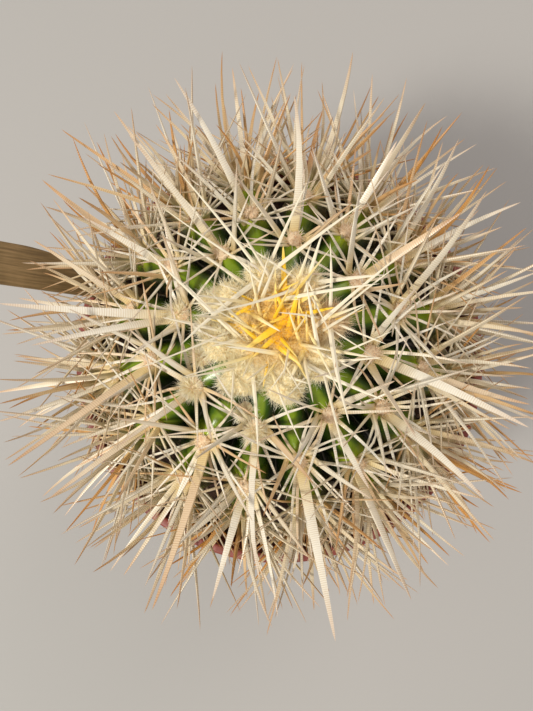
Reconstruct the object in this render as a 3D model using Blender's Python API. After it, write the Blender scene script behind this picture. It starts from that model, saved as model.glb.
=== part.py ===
"""A round cactus with long pale spines, in a terracotta-coloured plastic pot.

Metres, +Z up. The origin is the middle of the pot's flat base, and the pot's axis is Z.
The pieces: the pot, the soil that fills it, the ribbed stem with its spines, the woolly
crown with its young yellow spines, and a bare wooden label that leans out over the lip.
"""

import math
import random

import bmesh
import bpy
import numpy as np
from mathutils import Vector

SEED = 20
GAP = 0.0003
HARD_EDGE = math.radians(35.0)

POT_HEIGHT = 0.120
LIP_RADIUS = 0.070
BASE_RADIUS = 0.050
WALL = 0.0020
FLOOR = 0.0030
LIP_WIDTH = 0.0032
COLLAR_HEIGHT = 0.014
COLLAR_STEP = 0.0018
POT_SEGMENTS = 48
DRAIN_HOLES = 8
DRAIN_RADIUS = 0.0045
DRAIN_CIRCLE = 0.034

SOIL_TOP = POT_HEIGHT - 0.012
SOIL_ROUGHNESS = 0.0009
ROOT_DEPTH = 0.011
ROOT_TAPER = 0.004

STEM_RADIUS = 0.0525
STEM_RISE = 0.050
STEM_CENTRE = POT_HEIGHT + 0.014
CROWN_DIMPLE = 0.004
CROWN_DIMPLE_REACH = 0.24
RIBS = 16
RIB_PHASE = math.radians(11.0)
RIB_DEPTH = 0.0095
COLUMNS_PER_RIB = 6
HUMP = 0.0016

AREOLE_PITCH = math.radians(21.0)
FIRST_AREOLE = math.radians(29.0)
AREOLES_PER_RIB = 4
AREOLE_RADIUS = 0.0026

RADIAL_LENGTH = (0.017, 0.026)
RADIAL_WIDTH = 0.0014
RADIAL_TILT = (58.0, 76.0)
RADIAL_ANGLES = (-128.0, -62.0, 62.0, 128.0)
CENTRAL_LENGTH = (0.027, 0.040)
CENTRAL_WIDTH = 0.0030
CENTRAL_TILT = (18.0, 44.0)
CENTRAL_ANGLES = (180.0, -75.0, 75.0)
SLIM = 0.0023
SPINE_SINK = 0.0028
SPINE_REACH = 0.0960
SPINE_TAPER = 0.58
TRIES = 14
SAMPLES = 12
ROOMY = 0.0008
LEAST_ROOM = -0.0012
YOUNG_LEAST_ROOM = 0.0004

SOIL_CLEARANCE = 0.0025
LIP_CLEARANCE = 0.0024
LABEL_CLEARANCE = 0.0032
WOOL_CLEARANCE = 0.0022

WOOL_RADIUS = 0.0142
WOOL_HEIGHT = 0.0052
TUFTS = 8
TUFT_CIRCLE = 0.0142
TUFT_RADIUS = 0.0050
TUFT_HEIGHT = 0.0046
WOOL_EDGE = 0.0009
WOOL_COLUMNS = 48
WOOL_RINGS = 5
YOUNG_SPINES = 34
YOUNG_LENGTH = (0.010, 0.024)
YOUNG_WIDTH = 0.0013

LABEL_LENGTH = 0.094
LABEL_WIDTH = 0.0135
LABEL_THICKNESS = 0.0015
LABEL_TAPER = 0.052
LABEL_POINT = 0.003
LABEL_CORNER = 0.003
LABEL_AZIMUTH = math.radians(157.0)
LABEL_HEADING = math.radians(180.0)
LABEL_LEAN = math.radians(45.0)
LABEL_DEPTH = 0.008
LABEL_LIFT = 0.0012

# The spines that stand out from above, read off the photo one by one and rounded: the rib, the
# areole down it, the heading from +X and the rise in degrees, the length and the width.
STANDING_OUT = (
    (0, 0, 54, 30, 0.0365, 0.0032),
    (0, 1, 17, 25, 0.0290, 0.0024),
    (0, 2, 354, 20, 0.0300, 0.0026),
    (1, 1, 62, 25, 0.0340, 0.0030),
    (1, 1, 22, 25, 0.0340, 0.0028),
    (1, 2, 34, 20, 0.0320, 0.0022),
    (2, 1, 57, 30, 0.0330, 0.0034),
    (2, 2, 98, 15, 0.0360, 0.0022),
    (3, 0, 90, 30, 0.0350, 0.0030),
    (3, 1, 118, 25, 0.0385, 0.0024),
    (3, 2, 72, 25, 0.0385, 0.0034),
    (3, 2, 92, 20, 0.0345, 0.0020),
    (3, 2, 43, 20, 0.0355, 0.0020),
    (4, 0, 121, 25, 0.0390, 0.0030),
    (4, 2, 76, 20, 0.0390, 0.0022),
    (5, 0, 130, 30, 0.0370, 0.0026),
    (5, 2, 150, 25, 0.0410, 0.0034),
    (5, 2, 109, 20, 0.0360, 0.0022),
    (6, 1, 146, 25, 0.0340, 0.0030),
    (6, 2, 113, 15, 0.0430, 0.0018),
    (7, 0, 180, 25, 0.0440, 0.0034),
    (7, 0, 197, 30, 0.0380, 0.0030),
    (7, 1, 147, 25, 0.0310, 0.0028),
    (8, 0, 221, 25, 0.0440, 0.0036),
    (8, 2, 202, 20, 0.0340, 0.0028),
    (9, 1, 220, 25, 0.0330, 0.0026),
    (9, 2, 258, 15, 0.0380, 0.0018),
    (10, 0, 256, 30, 0.0440, 0.0036),
    (10, 1, 251, 25, 0.0310, 0.0030),
    (10, 2, 281, 20, 0.0400, 0.0028),
    (11, 0, 273, 30, 0.0380, 0.0024),
    (11, 2, 278, 20, 0.0310, 0.0020),
    (12, 0, 281, 30, 0.0450, 0.0036),
    (12, 1, 270, 30, 0.0270, 0.0026),
    (13, 1, 290, 30, 0.0375, 0.0034),
    (13, 2, 257, 20, 0.0340, 0.0022),
    (13, 2, 341, 20, 0.0350, 0.0020),
    (14, 0, 315, 30, 0.0345, 0.0034),
    (14, 1, 290, 20, 0.0300, 0.0024),
    (15, 0, 331, 25, 0.0420, 0.0036),
    (15, 1, 339, 25, 0.0290, 0.0030),
    (15, 2, 311, 20, 0.0310, 0.0026),
)


def clear_scene():
    for old in list(bpy.data.objects):
        bpy.data.objects.remove(old, do_unlink=True)


def linear(hex_colour):
    """The linear colour of an sRGB hex value."""
    parts = [int(hex_colour[i : i + 2], 16) / 255 for i in (1, 3, 5)]
    return [p / 12.92 if p <= 0.04045 else ((p + 0.055) / 1.055) ** 2.4 for p in parts]


def material(name, colour, roughness):
    """A plain material of one colour."""
    surface = bpy.data.materials.new(name)
    surface.use_nodes = True
    shader = surface.node_tree.nodes["Principled BSDF"]
    shader.inputs["Base Color"].default_value = (*linear(colour), 1.0)
    shader.inputs["Roughness"].default_value = roughness
    shader.inputs["Metallic"].default_value = 0.0
    return surface


def object_of(name, shape, surface=None):
    """An object from a bmesh, with its faces turned outwards and its material, if it keeps one."""
    bmesh.ops.recalc_face_normals(shape, faces=shape.faces)
    mesh = bpy.data.meshes.new(name)
    shape.to_mesh(mesh)
    shape.free()
    obj = bpy.data.objects.new(name, mesh)
    bpy.context.scene.collection.objects.link(obj)
    if surface:
        mesh.materials.append(surface)
    return obj


def shade(obj):
    """Shades the round parts smooth, and keeps the hard edges."""
    obj.data.shade_smooth()
    obj.data.set_sharp_from_angle(angle=HARD_EDGE)


def lofted(rings, first_pole, last_pole):
    """A closed bmesh skin over rings of points, with a pole at each end."""
    skin = bmesh.new()
    loops = [[skin.verts.new(point) for point in ring] for ring in rings]
    count = len(loops[0])
    for lower, upper in zip(loops, loops[1:]):
        for i in range(count):
            j = (i + 1) % count
            skin.faces.new((lower[i], lower[j], upper[j], upper[i]))
    for pole, loop in ((first_pole, loops[0]), (last_pole, loops[-1])):
        tip = skin.verts.new(pole)
        for i in range(count):
            skin.faces.new((loop[i], loop[(i + 1) % count], tip))
    return skin


def ring(radius, height, segments=POT_SEGMENTS):
    """A level circle of points, where the height may be a function of the point's number."""
    points = []
    for i in range(segments):
        turn = 2 * math.pi * i / segments
        z = height(i) if callable(height) else height
        points.append((radius * math.cos(turn), radius * math.sin(turn), z))
    return points


def boolean(body, operation, others):
    """Joins or cuts with all the other objects at once, then removes them."""
    group = bpy.data.collections.new(body.name + "_parts")
    bpy.context.scene.collection.children.link(group)
    for other in others:
        for owner in list(other.users_collection):
            owner.objects.unlink(other)
        group.objects.link(other)
    step = body.modifiers.new(operation.lower(), "BOOLEAN")
    step.operation = operation
    step.operand_type = "COLLECTION"
    step.collection = group
    step.solver = "EXACT"
    step.material_mode = "TRANSFER"
    bpy.context.view_layer.objects.active = body
    bpy.ops.object.modifier_apply(modifier=step.name)
    for other in list(group.objects):
        bpy.data.objects.remove(other, do_unlink=True)
    bpy.data.collections.remove(group)


def wall_radius(z):
    """The pot's outer radius below its collar, where the wall tapers straight."""
    under_collar = LIP_RADIUS - COLLAR_STEP - 0.0015
    return BASE_RADIUS + (under_collar - BASE_RADIUS) * z / (POT_HEIGHT - COLLAR_HEIGHT)


def inner_radius(z):
    """The pot's inner radius: the taper of the wall, then the straight inside of the lip."""
    return min(wall_radius(z) - WALL, LIP_RADIUS - LIP_WIDTH)


def make_pot():
    collar = POT_HEIGHT - COLLAR_HEIGHT
    soft = 0.0009
    profile = (
        (BASE_RADIUS - soft, 0.0),
        (BASE_RADIUS, soft),
        (wall_radius(collar), collar),
        (LIP_RADIUS - 0.0008, collar + 0.0006),
        (LIP_RADIUS, POT_HEIGHT - soft),
        (LIP_RADIUS - soft, POT_HEIGHT),
        (LIP_RADIUS - LIP_WIDTH + soft, POT_HEIGHT),
        (LIP_RADIUS - LIP_WIDTH, POT_HEIGHT - soft),
        (inner_radius(collar), collar),
        (inner_radius(FLOOR), FLOOR),
    )
    rings = [ring(radius, z) for radius, z in profile]
    plastic = material("moulded_terracotta_plastic", "#9a4c42", 0.45)
    pot = object_of("pot", lofted(rings, (0, 0, 0), (0, 0, FLOOR)), plastic)
    drills = []
    for k in range(DRAIN_HOLES):
        turn = 2 * math.pi * k / DRAIN_HOLES
        drill = bmesh.new()
        bmesh.ops.create_cone(
            drill,
            cap_ends=True,
            segments=10,
            radius1=DRAIN_RADIUS,
            radius2=DRAIN_RADIUS,
            depth=4 * FLOOR,
        )
        middle = Vector((DRAIN_CIRCLE * math.cos(turn), DRAIN_CIRCLE * math.sin(turn), 0))
        bmesh.ops.translate(drill, verts=drill.verts, vec=middle)
        drills.append(object_of("drain_drill", drill))
    boolean(pot, "DIFFERENCE", drills)
    shade(pot)


def root_radius():
    """The stem's radius where it enters the soil."""
    drop = (STEM_CENTRE - SOIL_TOP) / STEM_RISE
    return STEM_RADIUS * math.sqrt(1 - drop * drop)


def make_soil():
    rng = random.Random(SEED)

    def rough(_):
        return SOIL_TOP + rng.uniform(-SOIL_ROUGHNESS, SOIL_ROUGHNESS)

    bottom = FLOOR + GAP
    hole_top = root_radius() + GAP
    hole_floor = SOIL_TOP - ROOT_DEPTH - GAP
    edge = inner_radius(SOIL_TOP) - GAP
    band = edge - hole_top
    rings = [
        ring(hole_top - ROOT_TAPER, hole_floor),
        ring(hole_top, SOIL_TOP),
        ring(hole_top + 0.35 * band, rough),
        ring(hole_top + 0.68 * band, rough),
        ring(edge, SOIL_TOP),
        ring(inner_radius(bottom) - GAP, bottom),
    ]
    grit = material("gritty_potting_soil", "#3a2519", 0.95)
    soil = object_of("soil", lofted(rings, (0, 0, hole_floor), (0, 0, bottom)), grit)
    slot = object_of("label_slot", label_shape(1.1 * GAP))
    boolean(soil, "DIFFERENCE", [slot])
    shade(soil)


def label_frame():
    """Where the label's tip is, and its directions: along it to its top end, across it, and out of its upper face."""
    to_lip = Vector((math.cos(LABEL_AZIMUTH), math.sin(LABEL_AZIMUTH), 0))
    outward = Vector((math.cos(LABEL_HEADING), math.sin(LABEL_HEADING), 0))
    up = Vector((0, 0, 1))
    along = outward * math.cos(LABEL_LEAN) + up * math.sin(LABEL_LEAN)
    across = up.cross(outward)
    normal = along.cross(across)
    if normal.z < 0:
        across, normal = -across, -normal
    seat = to_lip * (LIP_RADIUS - LIP_WIDTH) + up * POT_HEIGHT
    middle = seat + normal * (LABEL_THICKNESS / 2 + GAP + LABEL_LIFT)
    to_soil = (SOIL_TOP - middle.z) / along.z
    tip = middle + along * (to_soil - LABEL_DEPTH)
    return tip, along, across, normal


def label_shape(margin=0.0):
    """The label's slab: a long strip with rounded top corners, cut slanting to a blunt point on one side."""
    tip, along, across, normal = label_frame()
    half = LABEL_WIDTH / 2 + margin
    outline = [(-margin, LABEL_WIDTH / 2 - LABEL_POINT - margin), (-margin, half)]
    for step in range(4):
        turn = math.pi / 2 * step / 3
        x = LABEL_LENGTH + margin - LABEL_CORNER + LABEL_CORNER * math.sin(turn)
        y = half - LABEL_CORNER + LABEL_CORNER * math.cos(turn)
        outline.append((x, y))
    for step in range(4):
        turn = math.pi / 2 * step / 3
        x = LABEL_LENGTH + margin - LABEL_CORNER + LABEL_CORNER * math.cos(turn)
        y = half - LABEL_CORNER + LABEL_CORNER * math.sin(turn)
        outline.append((x, -y))
    outline.append((LABEL_TAPER, -half))
    slab = bmesh.new()
    thick = LABEL_THICKNESS / 2 + margin
    under = [slab.verts.new(tip + along * x + across * y - normal * thick) for x, y in outline]
    face = slab.faces.new(under)
    raised = bmesh.ops.extrude_face_region(slab, geom=[face])
    tops = [item for item in raised["geom"] if isinstance(item, bmesh.types.BMVert)]
    bmesh.ops.translate(slab, verts=tops, vec=normal * (2 * thick))
    return slab


def make_label():
    wood = material("birch_label_wood", "#8d7049", 0.7)
    shade(object_of("plant_label", label_shape(), wood))


def smooth(low, high, value):
    """0 below low, 1 above high, and a smooth rise between."""
    t = min(max((value - low) / (high - low), 0.0), 1.0)
    return t * t * (3 - 2 * t)


def rib_depth(theta):
    """The ribs fade out under the crown's wool and towards the soil."""
    rise = smooth(math.radians(17.0), math.radians(44.0), theta)
    fall = 1 - smooth(math.radians(92.0), math.radians(121.0), theta)
    return RIB_DEPTH * rise * (0.12 + 0.88 * fall)


def hump(theta, rib):
    """How far the crest swells at an areole and draws in between two of them."""
    first = FIRST_AREOLE + AREOLE_PITCH / 2 * ((rib + 1) % 2)
    fade = smooth(math.radians(20.0), math.radians(40.0), theta)
    fade *= 1 - smooth(math.radians(100.0), math.radians(116.0), theta)
    return HUMP * fade * math.cos(2 * math.pi * (theta - first) / AREOLE_PITCH)


def stem_axes(theta, phi):
    """The outward normal, and the directions towards the crown and round the stem."""
    flat = Vector((math.cos(phi), math.sin(phi), 0))
    normal = flat * (math.sin(theta) / STEM_RADIUS) + Vector((0, 0, math.cos(theta) / STEM_RISE))
    normal.normalize()
    around = Vector((-math.sin(phi), math.cos(phi), 0))
    upward = normal.cross(around)
    if upward.z < 0:
        upward = -upward
    return normal, upward, around


def stem_point(theta, phi):
    """A point on the ribbed stem, by the angle from its crown and the turn round its axis."""
    place = (phi - RIB_PHASE) * RIBS / (2 * math.pi)
    rib = round(place)
    off_crest = abs(place - rib)
    crest = math.cos(math.pi * off_crest)
    radius = STEM_RADIUS * math.sin(theta)
    height = STEM_CENTRE + STEM_RISE * math.cos(theta)
    height -= CROWN_DIMPLE * math.exp(-((theta / CROWN_DIMPLE_REACH) ** 2))
    normal, _, _ = stem_axes(theta, phi)
    swell = hump(theta, rib % RIBS) * max(0.0, 1 - 2.6 * off_crest)
    shift = swell - rib_depth(theta) * (1 - crest**0.85 if crest > 0 else 1)
    return Vector((radius * math.cos(phi), radius * math.sin(phi), height)) + normal * shift


def stem_rows():
    """The angles from the crown of the stem's rings of points, one at each areole's height."""
    last = math.acos((SOIL_TOP - STEM_CENTRE) / STEM_RISE)
    rows = [math.radians(5.5), math.radians(12.0)]
    theta = FIRST_AREOLE - AREOLE_PITCH / 2
    while theta < last - math.radians(4.0):
        rows.append(theta)
        theta += AREOLE_PITCH / 2
    return rows + [last]


def make_stem():
    columns = RIBS * COLUMNS_PER_RIB
    turns = [RIB_PHASE + 2 * math.pi * i / columns for i in range(columns)]
    rings = [[stem_point(theta, phi) for phi in turns] for theta in stem_rows()]
    foot = root_radius() - ROOT_TAPER
    foot_z = SOIL_TOP - ROOT_DEPTH
    rings.append([Vector((foot * math.cos(phi), foot * math.sin(phi), foot_z)) for phi in turns])
    crown = Vector((0, 0, STEM_CENTRE + STEM_RISE - CROWN_DIMPLE))
    skin = material("green_cactus_skin", "#3f7a1e", 0.4)
    return object_of("cactus", lofted(rings, crown, Vector((0, 0, foot_z))), skin)


def areoles():
    """Each areole's place and directions, with its age from 0 at the crown to 1 at the soil."""
    for rib in range(RIBS):
        phi = RIB_PHASE + 2 * math.pi * rib / RIBS
        first = FIRST_AREOLE + AREOLE_PITCH / 2 * ((rib + 1) % 2)
        for step in range(AREOLES_PER_RIB):
            theta = first + AREOLE_PITCH * step
            yield stem_point(theta, phi), stem_axes(theta, phi), theta / math.radians(105.0)


def spine_path(root, direction, bow, length):
    """A centre line that leaves the root straight and bows over towards its tip."""
    start = root - direction * SPINE_SINK
    fractions = [i / (SAMPLES - 1) for i in range(SAMPLES)]
    return [start + direction * (length + SPINE_SINK) * t + bow * length * t * t for t in fractions]


def in_the_way(path):
    """Whether a path comes near the pot, the soil or the label."""
    tip, along, across, normal = label_frame()
    for point in path[2:]:
        radius = math.hypot(point.x, point.y)
        if point.z < SOIL_TOP + SOIL_CLEARANCE:
            return True
        over_lip = radius > inner_radius(POT_HEIGHT) - LIP_CLEARANCE
        if over_lip and point.z < POT_HEIGHT + LIP_CLEARANCE:
            return True
        if radius > SPINE_REACH:
            return True
        offset = point - tip
        beside = abs(offset.dot(across)) < LABEL_WIDTH / 2 + LABEL_CLEARANCE
        near = abs(offset.dot(normal)) < LABEL_THICKNESS / 2 + LABEL_CLEARANCE
        if beside and near and offset.dot(along) < LABEL_LENGTH + LABEL_CLEARANCE:
            return True
    return False


def wool_height(x, y):
    """The height of the crown's wool above the stem: a low dome in a ring of tufts."""
    dome = 1 - (x * x + y * y) / WOOL_RADIUS**2
    height = WOOL_HEIGHT * math.sqrt(dome) if dome > 0 else 0.0
    for k in range(TUFTS):
        turn = RIB_PHASE + 2 * math.pi * k / TUFTS
        dx = x - TUFT_CIRCLE * math.cos(turn)
        dy = y - TUFT_CIRCLE * math.sin(turn)
        mound = 1 - (dx * dx + dy * dy) / TUFT_RADIUS**2
        if mound > 0:
            height = max(height, TUFT_HEIGHT * math.sqrt(mound))
    return height


def crown_surface(x, y):
    """The stem's height under the wool, where it has no ribs."""
    theta = math.asin(min(math.hypot(x, y) / STEM_RADIUS, 1.0))
    dimple = CROWN_DIMPLE * math.exp(-((theta / CROWN_DIMPLE_REACH) ** 2))
    return STEM_CENTRE + STEM_RISE * math.cos(theta) - dimple


def wool_outline(phi):
    """How far the wool reaches: its dome's edge, or the far side of a tuft."""
    reach = WOOL_RADIUS
    for k in range(TUFTS):
        off = phi - RIB_PHASE - 2 * math.pi * k / TUFTS
        sideways = TUFT_CIRCLE * math.sin(off)
        if math.cos(off) > 0 and abs(sideways) < TUFT_RADIUS:
            far = math.sqrt(TUFT_RADIUS**2 - sideways**2)
            reach = max(reach, TUFT_CIRCLE * math.cos(off) + far)
    return reach


def wool_in_the_way(path):
    """Whether a path of the stem's spines comes near the wool."""
    for point in path[2:]:
        radius = math.hypot(point.x, point.y)
        if radius < WOOL_RADIUS + 2 * TUFT_RADIUS:
            cover = crown_surface(point.x, point.y) + wool_height(point.x, point.y)
            if point.z < cover + WOOL_CLEARANCE:
                return True
    return False


class Spine:
    """A three-sided tapering needle along a path, wide across and thin through."""

    def __init__(self, path, width, thickness, across, rings):
        self.path = path
        self.width = width
        self.thickness = thickness
        self.across = across
        self.rings = rings

    def shape(self):
        body = bmesh.new()
        loops = []
        for k in range(self.rings):
            t = k / self.rings
            at = self.path[round(t * (SAMPLES - 1))]
            along = (self.path[-1] - self.path[0]).normalized()
            side = (self.across - along * self.across.dot(along)).normalized()
            out = along.cross(side)
            wide = self.width * (1 - t) ** SPINE_TAPER
            thick = max(self.thickness * (1 - t) ** 0.5, 0.0004)
            corners = (-side * wide / 2, side * wide / 2, out * thick)
            loops.append([body.verts.new(at + corner) for corner in corners])
        tip = body.verts.new(self.path[-1])
        body.faces.new(loops[0])
        for lower, upper in zip(loops, loops[1:]):
            for i in range(3):
                body.faces.new((lower[i], lower[(i + 1) % 3], upper[(i + 1) % 3], upper[i]))
        for i in range(3):
            body.faces.new((loops[-1][i], loops[-1][(i + 1) % 3], tip))
        return body


class Thicket:
    """The spines placed so far, to keep each new one clear of the rest."""

    def __init__(self):
        self.points = np.zeros((0, 3))
        self.half_widths = np.zeros(0)

    def clearance(self, path, width):
        """The least free space between a path and the spines placed so far."""
        if not len(self.points):
            return 1.0
        own = np.array([point[:] for point in path[3:]])
        apart = np.linalg.norm(own[:, None, :] - self.points[None, :, :], axis=2)
        fades = width / 2 * (1 - np.linspace(0.25, 1.0, len(own))) ** SPINE_TAPER
        return float((apart - fades[:, None] - self.half_widths[None, :]).min())

    def add(self, path, width):
        own = np.array([point[:] for point in path[2:]])
        fades = width / 2 * (1 - np.linspace(0.2, 1.0, len(own))) ** SPINE_TAPER
        self.points = np.vstack([self.points, own])
        self.half_widths = np.concatenate([self.half_widths, fades])


def grow(rng, thicket, draw, blocked, least):
    """The clearest of several draws of a spine, or none where all of them are blocked."""
    best, best_room = None, least
    for _ in range(TRIES):
        spine = draw(rng)
        if blocked(spine.path):
            continue
        room = thicket.clearance(spine.path, spine.width)
        if room > best_room:
            best, best_room = spine, room
        if room > ROOMY:
            break
    if best:
        thicket.add(best.path, best.width)
    return best


def standing_out(thicket):
    """The spines placed by hand, each in a slight arch that ends where the straight one would."""
    rng = random.Random(SEED + 12)
    spots = list(areoles())
    spines = []
    for rib, step, heading, rise, length, width in STANDING_OUT:
        root, (normal, _, _), _ = spots[rib * AREOLES_PER_RIB + step]
        turn = math.radians(heading)
        lift = math.radians(rise)
        flat = Vector((math.cos(turn), math.sin(turn), 0))
        direction = flat * math.cos(lift) + Vector((0, 0, math.sin(lift)))
        across = direction.cross(normal).normalized()
        aside = (direction - normal * direction.dot(normal)).normalized()
        bow = across * rng.uniform(-0.20, 0.20) - normal * rng.uniform(0.0, 0.16)
        foot = root + aside * 0.6 * AREOLE_RADIUS
        path = spine_path(foot, direction - bow, bow, length)
        rings = 2 if width > SLIM else 1
        spine = Spine(path, width, 0.36 * width + 0.0004, across, rings)
        thicket.add(spine.path, spine.width)
        spines.append(spine)
    return spines


def areole_draw(root, axes, angle, tilts, lengths, width, age, rings):
    """A function that draws one spine of an areole, at about this angle round it."""
    normal, upward, around = axes

    def draw(rng):
        turn = math.radians(angle + rng.uniform(-16.0, 16.0))
        tilt = math.radians(rng.uniform(*tilts))
        sideways = upward * math.cos(turn) + around * math.sin(turn)
        direction = normal * math.cos(tilt) + sideways * math.sin(tilt)
        direction.z += rng.uniform(-0.04, 0.14)
        direction.normalize()
        growth = 0.74 + 0.26 * smooth(0.2, 0.6, age)
        length = rng.uniform(*lengths) * growth
        bow = (sideways * 0.4 - normal * 0.3) * rng.uniform(-0.05, 0.22)
        foot = root + sideways * AREOLE_RADIUS
        across = direction.cross(normal)
        path = spine_path(foot, direction, bow, length)
        return Spine(path, width * rng.uniform(0.8, 1.1), 0.36 * width + 0.0004, across, rings)

    return draw


def stem_spines(thicket):
    """The stem's spines by rule: broad central ones first, then the slimmer radial ones."""
    rng = random.Random(SEED + 1)
    spines = []
    spots = list(areoles())
    taken = {rib * AREOLES_PER_RIB + step for rib, step, *_ in STANDING_OUT}

    def blocked(path):
        return in_the_way(path) or wool_in_the_way(path)

    kinds = (
        (CENTRAL_ANGLES[:1], CENTRAL_TILT, CENTRAL_LENGTH, CENTRAL_WIDTH, 2),
        (CENTRAL_ANGLES[1:], CENTRAL_TILT, CENTRAL_LENGTH, CENTRAL_WIDTH, 1),
        (RADIAL_ANGLES, RADIAL_TILT, RADIAL_LENGTH, RADIAL_WIDTH, 1),
    )
    for angles, tilts, lengths, width, rings in kinds:
        for angle in angles:
            for place, (root, axes, age) in enumerate(spots):
                if place in taken and angle == CENTRAL_ANGLES[0]:
                    continue
                draw = areole_draw(root, axes, angle, tilts, lengths, width, age, rings)
                spines.append(grow(rng, thicket, draw, blocked, LEAST_ROOM))
    return [spine for spine in spines if spine]


def young_spines(thicket):
    """The crown's young spines, which stand up out of the wool and lean all ways."""
    rng = random.Random(SEED + 2)
    spines = []

    def draw(rng):
        turn = rng.uniform(0, 2 * math.pi)
        radius = WOOL_RADIUS * math.sqrt(rng.uniform(0.0, 0.85))
        x, y = radius * math.cos(turn), radius * math.sin(turn)
        root = Vector((x, y, crown_surface(x, y) + wool_height(x, y) - 0.0010))
        lean = math.radians(rng.uniform(25.0, 62.0))
        heading = turn + rng.uniform(-1.1, 1.1)
        flat = Vector((math.cos(heading), math.sin(heading), 0))
        direction = flat * math.sin(lean) + Vector((0, 0, math.cos(lean)))
        length = rng.uniform(*YOUNG_LENGTH)
        across = Vector((0, 0, 1)).cross(flat)
        start = root - direction * 0.0012
        path = [start + direction * length * i / (SAMPLES - 1) for i in range(SAMPLES)]
        return Spine(path, YOUNG_WIDTH * rng.uniform(0.7, 1.1), 0.0009, across, 1)

    for _ in range(YOUNG_SPINES):
        spines.append(grow(rng, thicket, draw, lambda path: False, YOUNG_LEAST_ROOM))
    return [spine for spine in spines if spine]


def make_cactus(spines):
    stem = make_stem()
    ivory = material("ivory_spine", "#e2d0a8", 0.5)
    needles = [object_of("spine", spine.shape(), ivory) for spine in spines]
    boolean(stem, "UNION", needles)
    shade(stem)


def make_crown(spines):
    """The wool, whose underside follows the stem a gap above it, with the young spines."""
    rng = random.Random(SEED + 3)
    turns = [RIB_PHASE + 2 * math.pi * i / WOOL_COLUMNS for i in range(WOOL_COLUMNS)]
    fractions = [(k + 1) / WOOL_RINGS for k in range(WOOL_RINGS)]
    under, over = [], []
    for fraction in fractions:
        low, high = [], []
        for phi in turns:
            reach = wool_outline(phi) * fraction
            x, y = reach * math.cos(phi), reach * math.sin(phi)
            base = crown_surface(x, y) + 1.3 * GAP
            lump = rng.uniform(-0.0004, 0.0004) if fraction < 1 else 0.0
            low.append(Vector((x, y, base)))
            high.append(Vector((x, y, base + max(wool_height(x, y), WOOL_EDGE) + lump)))
        under.append(low)
        over.append(high)
    centre = crown_surface(0, 0) + 1.3 * GAP
    rings = under + over[::-1]
    poles = Vector((0, 0, centre)), Vector((0, 0, centre + WOOL_HEIGHT))
    wool = material("cream_wool", "#e0c68f", 0.9)
    golden = material("golden_young_spine", "#f2b51c", 0.45)
    crown = object_of("crown_wool", lofted(rings, *poles), wool)
    needles = [object_of("young_spine", spine.shape(), golden) for spine in spines]
    boolean(crown, "UNION", needles)
    shade(crown)


def main():
    clear_scene()
    make_pot()
    make_soil()
    make_label()
    thicket = Thicket()
    crown_growth = young_spines(thicket)
    make_crown(crown_growth)
    make_cactus(standing_out(thicket) + stem_spines(thicket))


main()
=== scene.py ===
"""The finished look of a potted round cactus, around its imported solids.

Metres, +Z up. The origin is the middle of the pot's flat base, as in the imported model.
The stem, the wool and the spines follow the rules that the solids were made by, on finer
meshes, and the hairs, the felt, the grit and the rest of the spines are added here.
"""

import math
import random

import bmesh
import bpy
import numpy as np
from mathutils import Matrix, Vector, noise


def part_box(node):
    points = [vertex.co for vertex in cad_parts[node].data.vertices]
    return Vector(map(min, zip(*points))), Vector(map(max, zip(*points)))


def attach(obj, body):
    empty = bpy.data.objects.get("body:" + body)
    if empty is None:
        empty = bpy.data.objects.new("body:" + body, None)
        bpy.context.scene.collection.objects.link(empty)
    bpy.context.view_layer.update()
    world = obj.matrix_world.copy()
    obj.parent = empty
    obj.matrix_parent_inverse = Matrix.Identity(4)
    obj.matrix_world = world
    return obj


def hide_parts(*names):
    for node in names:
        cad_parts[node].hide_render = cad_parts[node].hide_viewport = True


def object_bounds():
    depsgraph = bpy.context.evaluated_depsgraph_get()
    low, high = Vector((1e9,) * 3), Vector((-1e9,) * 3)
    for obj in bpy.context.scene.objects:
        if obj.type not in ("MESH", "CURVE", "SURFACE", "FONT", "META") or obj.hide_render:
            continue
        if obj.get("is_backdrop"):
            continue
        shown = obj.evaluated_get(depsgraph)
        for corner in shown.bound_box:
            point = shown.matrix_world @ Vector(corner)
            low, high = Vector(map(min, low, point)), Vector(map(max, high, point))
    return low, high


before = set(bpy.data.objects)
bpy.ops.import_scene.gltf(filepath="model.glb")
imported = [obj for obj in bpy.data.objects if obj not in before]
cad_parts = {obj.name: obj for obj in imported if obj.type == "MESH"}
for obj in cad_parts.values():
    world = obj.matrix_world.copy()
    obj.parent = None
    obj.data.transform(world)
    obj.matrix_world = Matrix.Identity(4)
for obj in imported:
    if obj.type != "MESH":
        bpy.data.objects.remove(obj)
cad_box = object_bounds()
SPINE_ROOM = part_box("cactus")

SEED = 20
# Which stream of random numbers each kind of growth or finish draws from, in steps from SEED.
STREAMS = {
    "stem_spines": 1, "young_spines": 2, "more_spines": 4, "grit": 5, "spine_tints": 6, "hair_tints": 7,
    "areole_hairs": 8, "wool_hairs": 9, "crown_spines": 10, "golden_needles": 11, "standing_out": 12,
    "fallen_spines": 13,
}

# Lengths are in metres. The angles, tilts and leans of spines and tufts are in degrees, and what is
# called a stray, and all other angles, in radians. Cells are those of a noise, counted in a metre.
UP = Vector((0, 0, 1))
GAP = 0.0003
TOLERANCE = 1e-4
HARD_EDGE = math.radians(35.0)

POT_HEIGHT = 0.120
LIP_RADIUS = 0.070
BASE_RADIUS = 0.050
WALL = 0.0020
FLOOR = 0.0030
LIP_WIDTH = 0.0032
COLLAR_HEIGHT = 0.014
COLLAR_STEP = 0.0018
COLLAR_SETBACK = 0.0015
COLLAR_INSET = 0.0008
COLLAR_EDGE = 0.0005
POT_EDGE = 0.0009
POT_SEGMENTS = 144
DRAIN_HOLES = 8
DRAIN_RADIUS = 0.0045
DRAIN_CIRCLE = 0.034
DRAIN_SEGMENTS = 32

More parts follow.
